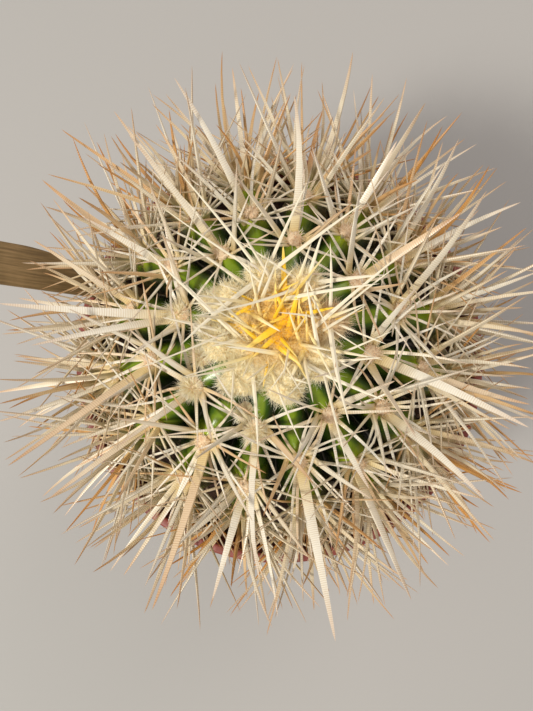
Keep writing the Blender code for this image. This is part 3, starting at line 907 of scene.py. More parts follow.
def crown_draw(root, fan, age):
    """A function that draws one half-grown spine of a cluster, at about this heading."""

    def draw(rng):
        heading = fan + rng.uniform(-CROWN_STRAY, CROWN_STRAY)
        lean = math.radians(rng.uniform(*CROWN_LEAN))
        length = rng.uniform(*CROWN_LENGTH)
        bow = Vector((rng.uniform(-0.1, 0.1), rng.uniform(-0.1, 0.1), rng.uniform(-0.10, 0.06)))
        spot = root + level(heading) * CROWN_SPREAD
        width = rng.uniform(*CROWN_WIDTH)
        return leaning(spot, heading, lean, length, bow, width, age)

    return draw


def crown_spines(thicket):
    """The half-grown spines of the youngest areoles, which fan out of the wool's tufts."""
    draws = []

    def blocked(path):
        return in_the_stem(path) or outside_box(path)

    for ring_radius, count, shift, members in CROWN_CLUSTERS:
        for k in range(count):
            turn = RIB_PHASE + math.radians(shift) + 2 * math.pi * k / count
            if ring_radius == TUFT_CIRCLE and BARE_WOOL[0] < turn < BARE_WOOL[1]:
                continue
            x, y = polar(ring_radius, turn)
            root = Vector((x, y, wool_surface(x, y) - CROWN_COVER))
            age = 0.35 + 0.65 * from_gold(x, y)
            for j in range(members):
                draws.append(crown_draw(root, turn + math.pi * (j / members - 0.33) * CROWN_FAN, age))
    return grow_all(stream("crown_spines"), thicket, draws, blocked, MORE_LEAST_ROOM)


def golden_needles(thicket):
    """The newest needles, which lie every way over the middle of the wool."""

    def draw(rng):
        turn = rng.uniform(0, 2 * math.pi)
        radius = math.sqrt(rng.random())
        x = GOLD[0] + NEEDLE_FIELD[0] * radius * math.cos(turn)
        y = GOLD[1] + NEEDLE_FIELD[1] * radius * math.sin(turn)
        root = Vector((x, y, wool_surface(x, y) - NEEDLE_COVER))
        heading = rng.uniform(0, 2 * math.pi)
        lean = math.radians(rng.uniform(*NEEDLE_LEAN))
        length = rng.uniform(*NEEDLE_LENGTH)
        width = rng.uniform(*NEEDLE_WIDTH)
        return leaning(root, heading, lean, length, Vector(), width, 0.3 * from_gold(x, y))

    draws = [draw] * GOLDEN_NEEDLES
    return grow_all(stream("golden_needles"), thicket, draws, in_the_stem, NEEDLE_LEAST_ROOM)


def young_spines(thicket):
    """The crown's young spines, which stand up out of the wool and lean all ways."""

    def draw(rng):
        turn = rng.uniform(0, 2 * math.pi)
        x, y = polar(WOOL_RADIUS * math.sqrt(rng.uniform(0.0, YOUNG_SPREAD)), turn)
        root = Vector((x, y, wool_surface(x, y) - YOUNG_COVER))
        lean = math.radians(rng.uniform(*YOUNG_LEAN))
        flat = level(turn + rng.uniform(-YOUNG_STRAY, YOUNG_STRAY))
        direction = flat * math.sin(lean) + Vector((0, 0, math.cos(lean)))
        run = direction * rng.uniform(*YOUNG_LENGTH)
        begin = root - direction * YOUNG_SINK
        stout = YOUNG_WIDTH * rng.uniform(*YOUNG_WIDTH_SWING)
        age = 0.9 * from_gold(x, y)
        return Spine(begin, run, Vector(), stout, YOUNG_THICKNESS, UP.cross(flat), age)

    draws = [draw] * YOUNG_SPINES
    return grow_all(stream("young_spines"), thicket, draws, lambda path: False, YOUNG_LEAST_ROOM)


def fallen_spines():
    """Old spines that have dropped onto the soil."""
    rng = stream("fallen_spines")
    spines = []
    while len(spines) < FALLEN_SPINES:
        turn = rng.uniform(0, 2 * math.pi)
        x, y = polar(rng.uniform(root_radius() + 0.004, inner_radius(SOIL_TOP) - 0.003), turn)
        heading = turn + math.pi / 2 + rng.uniform(-0.5, 0.5)
        length = rng.uniform(*FALLEN_LENGTH)
        flat = Vector((math.cos(heading), math.sin(heading), rng.uniform(0.0, 0.12)))
        begin = Vector((x, y, SOIL_TOP + FALLEN_HEIGHT))
        run = flat * length
        end = begin + run
        if root_radius() + 0.003 < math.hypot(end.x, end.y) < inner_radius(SOIL_TOP) - 0.002:
            across = UP.cross(flat)
            spines.append(Spine(begin, run, Vector(), FALLEN_WIDTH, FALLEN_THICKNESS, across, 1.0))
    return spines


# Materials


def linear(hex_colour):
    """The linear colour of an sRGB hex value."""
    parts = [int(hex_colour[i : i + 2], 16) / 255 for i in (1, 3, 5)]
    return [p / 12.92 if p <= 0.04045 else ((p + 0.055) / 1.055) ** 2.4 for p in parts] + [1.0]


def add(tree, kind, inputs=None, out=0, stops=None, **settings):
    """Adds a node with its settings, sets or links its inputs, and gives an output. Stops are a ramp's."""
    node = tree.nodes.new("ShaderNode" + kind)
    for key, value in settings.items():
        setattr(node, key, value)
    for key, value in (inputs or {}).items():
        if isinstance(value, bpy.types.NodeSocket):
            tree.links.new(value, node.inputs[key])
        elif isinstance(value, str):
            node.inputs[key].default_value = linear(value)
        else:
            node.inputs[key].default_value = value
    if stops:
        ramp = node.color_ramp
        while len(ramp.elements) < len(stops):
            ramp.elements.new(0.5)
        for element, (place, colour) in zip(ramp.elements, stops):
            element.position = place
            element.color = linear(colour)
    return node.outputs[out]


# The colour sockets of a Mix node, by number, because those of its other kinds have the same names.
MIX_A, MIX_B, MIX_OUT = 6, 7, 2


def material(name, **values):
    """A new material with its tree, and the shader's settings that are the same all over."""
    made = bpy.data.materials.new(name)
    made.use_nodes = True
    shader = made.node_tree.nodes["Principled BSDF"]
    for key, value in values.items():
        shader.inputs[key.replace("_", " ").title().replace("Ior", "IOR")].default_value = value
    return made, made.node_tree


def dress(made, colour, relief=None):
    """Links a colour, and a relief where there is one, to a material's shader."""
    links = made.node_tree.links
    shader = made.node_tree.nodes["Principled BSDF"]
    links.new(colour, shader.inputs["Base Color"])
    if relief:
        links.new(relief, shader.inputs["Normal"])
    return made


def ivory_horn():
    """Horn-like spine tissue: smooth, dry and faintly glossy, with fine rings across it from its growth, and
    painted shade darkening the grooves between them.
    """
    made, tree = material("banded_ivory_spine", roughness=0.33, ior=1.58)
    names = ("along", "reach", "age", "tint")
    along, reach, age, tint = (add(tree, "Attribute", out="Fac", attribute_name=n) for n in names)
    place = add(tree, "TexCoord", out="Object")
    # The shaft is ivory, duller on old spines, and amber on the most stained of them.
    worn = add(tree, "Math", {0: tint, 1: 0.6, 2: age}, operation="MULTIPLY_ADD")
    worn = add(tree, "MapRange", {"Value": worn, "From Min": 0.50, "From Max": 1.40})
    shaft = add(tree, "Mix", {0: worn, MIX_A: "#ebe3d0", MIX_B: "#d9bf8e"}, MIX_OUT, data_type="RGBA")
    stained = add(tree, "MapRange", {"Value": tint, "From Min": 0.74, "From Max": 0.94})
    stained = add(tree, "Math", {0: stained, 1: worn}, operation="MULTIPLY")
    shaft = add(tree, "Mix", {0: stained, MIX_A: shaft, MIX_B: "#d2964a"}, MIX_OUT, data_type="RGBA")
    # The foot is yellower, and the tip browner the older the spine is.
    near = add(tree, "MapRange", {"Value": along, "From Min": 0.08, "From Max": 0.34})
    low = add(tree, "Mix", {0: near, MIX_A: "#e6d096", MIX_B: shaft}, MIX_OUT, data_type="RGBA")
    end = add(tree, "MapRange", {"Value": along, "From Min": 0.66, "From Max": 1.0})
    burnt = add(tree, "MapRange", {"Value": worn, "To Min": 0.42})
    end = add(tree, "Math", {0: end, 1: burnt}, operation="MULTIPLY")
    whole = add(tree, "Mix", {0: end, MIX_A: low, MIX_B: "#b2743a"}, MIX_OUT, data_type="RGBA")
    # The rings waver over about 1 mm, and are faint and strong in patches of about 8 mm.
    wobble = add(tree, "TexNoise", {"Vector": place, "Scale": 900.0, "Detail": 2.0})
    turns = add(tree, "Math", {0: reach, 1: 2 / BAND_PITCH}, operation="MULTIPLY")
    turns = add(tree, "Math", {0: wobble, 1: 0.5, 2: turns}, operation="MULTIPLY_ADD")
    saw = add(tree, "Math", {0: turns, 1: 1.0}, operation="PINGPONG")
    ring = add(tree, "MapRange", {"Value": saw, "From Min": 0.12, "From Max": 0.55})
    patch = add(tree, "TexNoise", {"Vector": place, "Scale": 130.0, "Detail": 1.0})
    span = {"Value": patch, "From Min": 0.34, "From Max": 0.62, "To Min": 0.2}
    patch = add(tree, "MapRange", span)
    # Painted shade darkens the grooves between the rings, the more so in some patches.
    pair = {0: 1.0, MIX_A: whole, MIX_B: "#d9c4a4"}
    dark = add(tree, "Mix", pair, MIX_OUT, data_type="RGBA", blend_type="MULTIPLY")
    groove_shade_span = {0: ring, 1: -BAND_GROOVE_SHADE, 2: BAND_GROOVE_SHADE}
    groove_shade = add(tree, "Math", groove_shade_span, operation="MULTIPLY_ADD")
    groove_shade = add(tree, "Math", {0: groove_shade, 1: patch}, operation="MULTIPLY")
    coloured = add(tree, "Mix", {0: groove_shade, MIX_A: whole, MIX_B: dark}, MIX_OUT, data_type="RGBA")
    return dress(made, coloured, add(tree, "Bump", {"Height": ring, "Strength": 0.35, "Distance": 0.00012}))


def new_horn():
    """New spine tissue: deep gold at its root, and cream farther along and farther from the middle."""
    made, tree = material("new_golden_spine", roughness=0.45, ior=1.45)
    names = ("along", "age", "tint")
    along, age, tint = (add(tree, "Attribute", out="Fac", attribute_name=n) for n in names)
    pale = add(tree, "Math", {0: along, 1: 0.50}, operation="MULTIPLY")
    pale = add(tree, "Math", {0: age, 1: 0.90, 2: pale}, operation="MULTIPLY_ADD")
    pale = add(tree, "Math", {0: tint, 1: 0.35, 2: pale}, operation="MULTIPLY_ADD")
    stops = ((0.18, "#f6bc14"), (0.50, "#ffd234"), (0.78, "#f4e0a0"), (1.0, "#ede3c9"))
    return dress(made, add(tree, "ValToRGB", {"Fac": pale}, stops=stops))


def waxy_skin():
    """Living stem skin under a thin wax, with painted shade dark in the grooves and painted light bright
    yellow-green on the crests and swellings.
    """
    made, tree = material("waxy_green_cactus_skin", roughness=0.25, ior=1.45)
    names = ("crest", "swell", "cork")
    crest, swell, cork = (add(tree, "Attribute", out="Fac", attribute_name=n) for n in names)
    place = add(tree, "TexCoord", out="Object")
    # Clouds of about 4 mm, and pores drawn at 0.7 mm, because the real ones are too fine to show.
    cloud = add(tree, "TexNoise", {"Vector": place, "Scale": 260.0, "Detail": 4.0})
    shifted = add(tree, "Math", {0: cloud, 1: 0.30, 2: -0.15}, operation="MULTIPLY_ADD")
    # The grooves are painted near black as shade, and the crests, most of all where they swell at the
    # areoles, bright yellow-green as painted light.
    height = add(tree, "Math", {0: crest, 1: shifted})
    stops = ((0.0, "#0c1304"), (0.45, "#192c04"), (0.78, "#375609"), (0.96, "#768d1a"))
    groove_shade_crest_light = add(tree, "ValToRGB", {"Fac": height}, stops=stops)
    green = add(tree, "Mix", {0: swell, MIX_A: groove_shade_crest_light, MIX_B: "#c2ce36"}, MIX_OUT, data_type="RGBA")
    whole = add(tree, "Mix", {0: cork, MIX_A: green, MIX_B: "#7c6140"}, MIX_OUT, data_type="RGBA")
    pores = add(tree, "TexNoise", {"Vector": place, "Scale": 1500.0, "Detail": 3.0})
    return dress(made, whole, add(tree, "Bump", {"Height": pores, "Strength": 0.25, "Distance": 0.0002}))


def around_spot(tree, place, colour, spot, reach, other):
    """A colour that turns into another one round a spot of the crown."""
    middle = (spot[0], spot[1], STEM_CENTRE + STEM_RISE)
    apart = add(tree, "VectorMath", {0: place, 1: middle}, out="Value", operation="DISTANCE")
    share = add(tree, "MapRange", {"Value": apart, "From Min": reach, "From Max": 0.3 * reach})
    return add(tree, "Mix", {0: share, MIX_A: colour, MIX_B: other}, MIX_OUT, data_type="RGBA")


def crown_tones(tree, place, colour, tanned, gold):
    """A colour of the wool that is golden round the crown's middle and tan on one side."""
    toned = around_spot(tree, place, colour, TANNED, TANNED_REACH, tanned)
    return around_spot(tree, place, toned, GOLD, GOLD_REACH, gold)


def matted_felt(name, deep, pale):
    """Plant felt matted by weather: granular, quite dull, with painted shade darker down in its pits and
    painted light on its lumps.
    """
    made, tree = material(name, roughness=0.95, sheen_weight=0.25, sheen_roughness=0.5)
    place = add(tree, "TexCoord", out="Object")
    # Clumps of about 1.4 mm, with finer ones in them.
    grains = {"Vector": place, "Scale": 700.0, "Detail": 5.0, "Roughness": 0.65}
    clumps = add(tree, "TexNoise", grains)
    # The colour follows the clumps' height: the deep colour in the pits is painted shade, and the pale one
    # on the tops painted light.
    toned = add(tree, "ValToRGB", {"Fac": clumps}, stops=((0.3, deep), (0.62, pale)))
    whole = crown_tones(tree, place, toned, "#dab98b", "#e4b54c")
    return dress(made, whole, add(tree, "Bump", {"Height": clumps, "Strength": 0.9, "Distance": 0.0006}))


def fine_hair(name, root, tip):
    """Fine plant hair: soft and pale, and darker towards its root."""
    made, tree = material(name, roughness=0.7, sheen_weight=0.3, sheen_roughness=0.4)
    along = add(tree, "Attribute", out="Fac", attribute_name="along")
    tint = add(tree, "Attribute", out="Fac", attribute_name="tint")
    mixed = add(tree, "Math", {0: tint, 1: 0.5, 2: along}, operation="MULTIPLY_ADD")
    toned = add(tree, "ValToRGB", {"Fac": mixed}, stops=((0.1, root), (1.0, tip)))
    place = add(tree, "TexCoord", out="Object")
    return dress(made, crown_tones(tree, place, toned, "#e6cca2", "#efc866"))


def moulded_plastic():
    """Terracotta-coloured polypropylene, injection moulded: an even satin skin with dust and lime on it."""
    made, tree = material("moulded_terracotta_polypropylene", roughness=0.46, ior=1.49)
    place = add(tree, "TexCoord", out="Object")
    # Fading in clouds of about 22 mm, and a film of lime in spots of 2 mm and less.
    cloud = add(tree, "TexNoise", {"Vector": place, "Scale": 45.0, "Detail": 5.0})
    toned = add(tree, "ValToRGB", {"Fac": cloud}, stops=((0.3, "#803a2f"), (0.7, "#994d41")))
    spots = {"Vector": place, "Scale": 420.0, "Detail": 6.0, "Roughness": 0.7}
    lime = add(tree, "TexNoise", spots)
    film = add(tree, "MapRange", {"Value": lime, "From Min": 0.56, "From Max": 0.8})
    film = add(tree, "Math", {0: film, 1: 0.55}, operation="MULTIPLY")
    whole = add(tree, "Mix", {0: film, MIX_A: toned, MIX_B: "#c9a596"}, MIX_OUT, data_type="RGBA")
    # The mould's stipple is finer than can be seen, so it is drawn at 0.7 mm.
    stipple = add(tree, "TexNoise", {"Vector": place, "Scale": 1400.0, "Detail": 2.0})
    return dress(made, whole, add(tree, "Bump", {"Height": stipple, "Strength": 0.12, "Distance": 0.0002}))


def potting_mix():
    """Gritty potting mix: dark crumbs of peat with paler mineral grains, quite dull."""
    made, tree = material("gritty_potting_mix", roughness=0.95)
    place = add(tree, "TexCoord", out="Object")
    # Crumbs of 2 mm and less.
    crumbs = {"Vector": place, "Scale": 500.0, "Detail": 8.0, "Roughness": 0.7}
    crumbs = add(tree, "TexNoise", crumbs)
    stops = ((0.25, "#1c100a"), (0.5, "#3a2519"), (0.66, "#5f4430"), (0.78, "#9c8468"))
    toned = add(tree, "ValToRGB", {"Fac": crumbs}, stops=stops)
    return dress(made, toned, add(tree, "Bump", {"Height": crumbs, "Strength": 1.0, "Distance": 0.0010}))


def pumice_grit():
    """Broken pumice and gravel: rough matt stones, from grey-white to rust."""
    made, tree = material("broken_pumice_grit", roughness=0.9)
    tint = add(tree, "Attribute", out="Fac", attribute_name="tint")
    stops = ((0.0, "#4a3526"), (0.4, "#7d6650"), (0.75, "#a8977f"), (1.0, "#cfc4b2"))
    toned = add(tree, "ValToRGB", {"Fac": tint}, stops=stops)
    place = add(tree, "TexCoord", out="Object")
    # Pits of about half a millimetre.
    pits = add(tree, "TexNoise", {"Vector": place, "Scale": 1800.0, "Detail": 3.0})
    return dress(made, toned, add(tree, "Bump", {"Height": pits, "Strength": 0.7, "Distance": 0.0003}))


def dark_tan_birch():
    """Thin sawn birch, dark tan all over: dull, with fine long grain and some darker streaks."""
    made, tree = material("dark_tan_birch_strip", roughness=0.78)
    grain_map = add(tree, "UVMap", uv_map="grain")
    # Fibres drawn 0.7 mm wide and 17 mm long, and streaks of about 11 mm.
    stretched = add(tree, "Mapping", {"Vector": grain_map, "Scale": (60.0, 1500.0, 1.0)})
    grain = add(tree, "TexNoise", {"Vector": stretched, "Scale": 1.0, "Detail": 5.0})
    broad = add(tree, "TexNoise", {"Vector": grain_map, "Scale": 90.0, "Detail": 3.0})
    both = add(tree, "Math", {0: broad, 1: 0.6, 2: grain}, operation="MULTIPLY_ADD")
    stops = ((0.55, "#5f4a2c"), (0.8, "#7f6741"), (1.0, "#957a52"))
    toned = add(tree, "ValToRGB", {"Fac": both}, stops=stops)
    return dress(made, toned, add(tree, "Bump", {"Height": grain, "Strength": 0.3, "Distance": 0.0003}))


# The pot and its soil


def arc(middle_radius, middle_z, radius, first, last, steps):
    """Points of a rounded edge, from one angle to another in degrees, where 0 points outwards."""
    turns = [math.radians(first + (last - first) * i / steps) for i in range(steps + 1)]
    return [(middle_radius + radius * math.cos(t), middle_z + radius * math.sin(t)) for t in turns]


def make_pot():
    """The turned pot, with its collar, its rounded lip and the drain holes drilled through its floor."""
    collar = POT_HEIGHT - COLLAR_HEIGHT
    edge = COLLAR_EDGE
    soft = POT_EDGE
    profile = arc(BASE_RADIUS - soft, soft, soft, -90, 0, 4)
    profile += [(wall_radius(z), z) for z in (0.25 * collar, 0.5 * collar, 0.75 * collar)]
    profile += [(wall_radius(collar - edge), collar - edge), (wall_radius(collar) + edge, collar)]
    profile += arc(LIP_RADIUS - COLLAR_INSET, collar + edge, edge, -90, 0, 3)
    profile += arc(LIP_RADIUS - soft, POT_HEIGHT - soft, soft, 0, 90, 5)
    profile += arc(LIP_RADIUS - LIP_WIDTH + soft, POT_HEIGHT - soft, soft, 90, 180, 5)
    profile += [(inner_radius(collar), collar), (inner_radius(FLOOR), FLOOR)]
    pot = turned("clay_red_pot", profile, POT_SEGMENTS)
    drill_size = {"vertices": DRAIN_SEGMENTS, "radius": DRAIN_RADIUS, "depth": 4 * FLOOR}
    drills = []
    for k in range(DRAIN_HOLES):
        middle = (*polar(DRAIN_CIRCLE, 2 * math.pi * k / DRAIN_HOLES), 0)
        drills.append(primitive("cylinder", location=middle, **drill_size))
    for drill in drills:
        drill.select_set(True)
    bpy.ops.object.join()
    drill = settle(bpy.context.object, "drills")
    modify(pot, "BOOLEAN", operation="DIFFERENCE", object=drill, solver="EXACT")
    bpy.data.objects.remove(drill, do_unlink=True)
    shade(pot)
    finish_piece(pot, moulded_plastic(), "pot_plastic", "pot")


def soil_height(x, y):
    """The crumbly top of the soil."""
    rough = noise.fractal(Vector((x, y, 0.0)) * SOIL_CELLS, 0.8, 2.1, 5)
    return SOIL_TOP + SOIL_ROUGHNESS * max(-1.0, min(1.0, rough))


def make_soil():
    """The plug of soil, with a rough top and a plain hole for the stem's root plug."""
    bottom = FLOOR + GAP
    hole = root_radius() + GAP
    hole_floor = SOIL_TOP - ROOT_DEPTH - GAP
    edge = inner_radius(SOIL_TOP) - GAP
    profile = [(inner_radius(bottom) - GAP, bottom), (edge, SOIL_TOP)]
    for k in range(1, SOIL_RINGS):
        profile.append((edge + (hole - edge) * k / SOIL_RINGS, SOIL_TOP))
    profile += [(hole, SOIL_TOP), (hole - ROOT_TAPER, hole_floor)]
    soil = turned("potting_soil", profile, SOIL_SEGMENTS)
    for point in soil.data.vertices:
        radius = math.hypot(point.co.x, point.co.y)
        if abs(point.co.z - SOIL_TOP) < TOLERANCE and radius < edge - TOLERANCE:
            point.co.z = soil_height(point.co.x, point.co.y)
    shade(soil)
    finish_piece(soil, potting_mix(), "potting_soil", "soil")


def turn_points(points, angles):
    """Points turned about X, Y and Z in turn."""
    for axis, angle in enumerate(angles):
        c, s = math.cos(angle), math.sin(angle)
        i, j = [(1, 2), (2, 0), (0, 1)][axis]
        turned_points = points.copy()
        turned_points[:, i] = points[:, i] * c - points[:, j] * s
        turned_points[:, j] = points[:, i] * s + points[:, j] * c
        points = turned_points
    return points


def make_grit():
    """Grit and small stones on the soil, as copies of one broken stone."""
    rng = stream("grit")
    stone = primitive("ico_sphere", subdivisions=1, radius=1.0)
    blank = Blank(settle(stone, "stone"))
    points, tints = [], []
    low = root_radius() + 0.0015
    high = inner_radius(SOIL_TOP) - 0.0022
    for _ in range(GRAINS):
        turn = rng.uniform(0, 2 * math.pi)
        x, y = polar(math.sqrt(rng.uniform(low**2, high**2)), turn)
        size = rng.uniform(*GRAIN_SIZE) * rng.uniform(0.6, 1.0)
        stretch = np.array([rng.uniform(0.7, 1.3), rng.uniform(0.7, 1.3), rng.uniform(0.5, 0.9)])
        angles = [rng.uniform(0, 6.28) for _ in range(3)]
        knocks = np.array([rng.uniform(0.75, 1.15) for _ in blank.points])[:, None]
        shape = turn_points(blank.points * knocks * stretch, angles) * size
        points.append(shape + np.array([x, y, soil_height(x, y) + 0.2 * size]))
        tints.append(np.full(len(blank.points), rng.random()))
    grit = blank.copies("pumice_grit", points, {"tint": tints})
    grit.data.shade_flat()
    finish_piece(grit, pumice_grit(), "potting_soil")


# The stem


def make_stem():
    """The ribbed stem, drawn from a sphere whose last rings run down into the soil."""
    last = math.acos((SOIL_TOP - STEM_CENTRE) / STEM_RISE)
    stem = primitive("uv_sphere", segments=STEM_SEGMENTS, ring_count=STEM_RINGS, radius=1.0)
    stem = settle(stem, "ribbed_stem")
    values = {"crest": [], "swell": [], "cork": []}
    for point in stem.data.vertices:
        down, phi = sphere_angles(point.co)
        share = down / math.pi
        place, crest, swell = stem_point(last * min(share / (1 - BURIED), 1.0), phi)
        if share > 1 - BURIED:
            sunk = (share - 1 + BURIED) / BURIED
            narrow = max(0.0, 1 - sunk)
            place.x *= narrow
            place.y *= narrow
            place.z = SOIL_TOP - ROOT_DEPTH * min(1.0, 3 * sunk)
        point.co = place
        mottle = CORK_MOTTLE * noise.noise(place * CORK_CELLS)
        values["crest"].append(crest)
        values["swell"].append(max(swell, 0.0))
        values["cork"].append(1 - smooth(*CORK_EDGE, place.z + mottle))
    keep_values(stem.data, values)
    stem.data.shade_smooth()
    finish_piece(stem, waxy_skin(), "cactus_skin", "cactus")


# The spines


def spine_points(blank, spine):
    """The blank's points along a spine: from root to tip, across it and through it, with a keel on top."""
    x, y, t = blank.points.T[:, :, None]
    y = np.where((np.abs(x) < TOLERANCE) & (y > 0), SPINE_KEEL * y, y)
    along = np.array((spine.path[-1] - spine.path[0]).normalized())
    side = np.array(spine.across)
    side = side - along * side.dot(along)
    side /= np.linalg.norm(side)
    out = np.cross(along, side)
    line = np.array(spine.start) + np.array(spine.run) * t + np.array(spine.bow) * t * t
    through = (0.7 * y + (1 - t) ** SPINE_TAPER) * spine.thickness / 2
    return line + side * x * spine.width / 2 + out * through


def make_spines(name, blank, spines, surface, slot, *nodes):
    """One mesh of spines, with what their finish needs at each point."""
    rng = stream("spine_tints")
    along = blank.points[:, 2]
    points = [spine_points(blank, spine) for spine in spines]
    values = {
        "along": [along for _ in spines],
        "reach": [along * spine.run.length for spine in spines],
        "age": [np.full(len(along), spine.age) for spine in spines],
        "tint": [np.full(len(along), rng.random()) for _ in spines],
    }
    finish_piece(blank.copies(name, points, values), surface, slot, *nodes)


# Felt and hair


def make_hairs(name, blank, grown, surface):
    """One mesh of hairs, each a slim cone along a bowed line, from what one_hair gives of each."""
    rng = stream("hair_tints")
    roots, ways, bends, lengths, widths = (np.array(part, float) for part in zip(*grown))
    ways /= np.linalg.norm(ways, axis=1)[:, None]
    # Each hair's sides are taken from a slanting direction that none of them runs along.
    side = np.cross(ways, np.array([0.37, 0.61, 0.70]))
    side /= np.linalg.norm(side, axis=1)[:, None]
    out = np.cross(ways, side)
    x, y, t = blank.points.T
    run = (ways * lengths[:, None])[:, None, :]
    bow = (bends * lengths[:, None])[:, None, :]
    line = roots[:, None, :] + run * t[None, :, None] + bow * (t * t)[None, :, None]
    half = (widths / 2)[:, None, None]
    points = line + (side[:, None, :] * x[None, :, None] + out[:, None, :] * y[None, :, None]) * half
    along = np.tile(blank.points[:, 2], (len(grown), 1))
    tint = np.repeat([rng.random() for _ in grown], len(blank.points))
    obj = blank.copies(name, points, {"along": along, "tint": tint})
    finish_piece(obj, surface, "crown_wool")


def any_way(rng):
    """A random direction, even on all sides."""
    z = rng.uniform(-1, 1)
    return Vector((*polar(math.sqrt(1 - z * z), rng.uniform(0, 2 * math.pi)), z))


def one_hair(rng, kind, root, way, scale=1.0):
    """A hair of this kind: its root, its way, its bend, its length and its width."""
    shortest, longest, width, curl = kind
    bend = any_way(rng) * curl
    return root, way, bend, rng.uniform(shortest, longest) * scale, width


def pompoms():
    """The brushes of hair round the wool: on the youngest areoles of one side, and loose between them."""
    for root, axes, age in areoles():
        turn = math.atan2(root.y, root.x) % (2 * math.pi)
        if age < YOUNG_AREOLE and BARE_WOOL[0] < turn < BARE_WOOL[1]:
            yield root, axes
    for heading, distance in LOOSE_TUFTS:
        theta = math.asin(distance / STEM_RADIUS)
        phi = math.radians(heading)
        yield stem_point(theta, phi)[0], stem_axes(theta, phi)


def make_areole_felt(hair):
    """The felt pad that each areole's spines grow out of, with its short hairs."""
    rng = stream("areole_hairs")
    pad = primitive("uv_sphere", segments=14, ring_count=9, radius=1.0)
    blank = Blank(settle(pad, "pad"))
    points, grown = [], []
    # The pads shrink a little with age, and those under a brush of hair are larger.
    pads = [(root, axes, 0.98 - 0.12 * age) for root, axes, age in areoles()]
    pads += [(root, axes, 1.25) for root, axes in pompoms()]
    half_round, half_along, half_out = PAD_HALF
    for root, (normal, upward, around), large in pads:
        rows = np.array([around * half_round, upward * half_along, normal * half_out]) * large
        spots = [Vector(point) * PAD_CELLS + root * PAD_SHIFT for point in blank.points]
        lumps = np.array([1 + PAD_LUMPS * noise.noise(spot) for spot in spots])
        points.append(blank.points * lumps[:, None] @ rows + np.array(root))
        for _ in range(PAD_HAIRS):
            turn = rng.uniform(0, 2 * math.pi)
            out = math.sqrt(rng.random())
            flat = around * (half_round * math.cos(turn)) + upward * (half_along * math.sin(turn))
            rise = 0.0010 * math.sqrt(max(0.0, 1 - out * out))
            spot = root + flat * (out * large) + normal * rise
            way = normal * (1.1 - out) + flat.normalized() * out + any_way(rng) * 0.5
            grown.append(one_hair(rng, PAD_HAIR, spot, way, large))
    felt = blank.copies("areole_felt", points, {})
    finish_piece(felt, matted_felt("areole_felt", "#d4ac84", "#f5deba"), "crown_wool")
    make_hairs("areole_hairs", hair, grown, fine_hair("areole_hair", "#eac79c", "#fcefd6"))


def wool_top(x, y):
    """The wool's lumpy upper surface."""
    spot = Vector((x, y, 0.0))
    lumps = sum(size * noise.noise(spot * cells) for size, cells in WOOL_LUMPS)
    height = max(wool_height(x, y), WOOL_EDGE)
    return crown_surface(x, y) + WOOL_LIFT + height + lumps * min(1.0, height / 0.003)


def wool_normal(x, y):
    """The direction out of the wool's surface."""
    step = 0.0004
    slope_x = (wool_top(x + step, y) - wool_top(x - step, y)) / (2 * step)
    slope_y = (wool_top(x, y + step) - wool_top(x, y - step)) / (2 * step)
    return Vector((-slope_x, -slope_y, 1.0)).normalized()


def make_crown_felt():
    """The body of the wool: a lumpy cushion of matted felt, flattened from a sphere."""
    wool = primitive("uv_sphere", segments=WOOL_SEGMENTS, ring_count=WOOL_RINGS, radius=1.0)
    wool = settle(wool, "crown_felt")
    for point in wool.data.vertices:
        down, phi = sphere_angles(point.co)
        share = down / (math.pi / 2)
        x, y = polar(wool_outline(phi) * min(share, 2 - share), phi)
        low = crown_surface(x, y) + WOOL_LIFT
        point.co = (x, y, wool_top(x, y) if share <= 1 else low)
    wool.data.shade_smooth()
    surface = matted_felt("matted_crown_felt", "#e3bf7a", "#fff5d0")
    finish_piece(wool, surface, "crown_wool", "crown_wool")


def matted_hairs(rng):
    """The curled hairs all over the wool."""
    grown = []
    for _ in range(MATTED_HAIRS):
        turn = rng.uniform(0, 2 * math.pi)
        x, y = polar(wool_outline(turn) * math.sqrt(rng.uniform(0, 0.97)), turn)
        normal = wool_normal(x, y)
        spot = Vector((x, y, wool_top(x, y) - 0.0003))
        way = normal * rng.uniform(0.2, 0.9) + any_way(rng) * 0.8
        if way.dot(normal) < 0.15:
            way += normal * 0.6
        grown.append(one_hair(rng, MATTED_HAIR, spot, way))
    return grown


def tuft_hairs(rng):
    """The brushes of hair on the wool's tufts and in the loose tufts round them."""
    grown = []
    for k in range(TUFTS):
        x, y = polar(TUFT_CIRCLE, RIB_PHASE + 2 * math.pi * k / TUFTS)
        middle = Vector((x, y, 0))
        middle.z = crown_surface(middle.x, middle.y) + 0.2 * TUFT_HEIGHT
        for _ in range(TUFT_HAIRS):
            way = any_way(rng)
            way.z = abs(way.z) * 0.9 + 0.05
            way.normalize()
            grown.append(one_hair(rng, TUFT_HAIR, middle + way * TUFT_RADIUS * TUFT_CORE, way))
    for root, (normal, _, _) in pompoms():
        for _ in range(POMPOM_HAIRS):
            way = any_way(rng)
            if way.dot(normal) < 0:
                way = -way
            spot = root + way * POMPOM_RADIUS * POMPOM_CORE
            way = (way + any_way(rng) * 0.35).normalized()
            grown.append(one_hair(rng, POMPOM_HAIR, spot, way))
    return grown


def make_wool(hair):
    """The crown's wool: its felt, the curled hairs all over it and the brushes of hair on its tufts."""
    make_crown_felt()
    rng = stream("wool_hairs")
    surface = fine_hair("matted_crown_hair", "#f5dc9a", "#fff8d8")
    make_hairs("crown_matted_hairs", hair, matted_hairs(rng), surface)
    surface = fine_hair("tuft_hair", "#f7e4a8", "#fffae4")
    make_hairs("crown_tuft_hairs", hair, tuft_hairs(rng), surface)


# The label


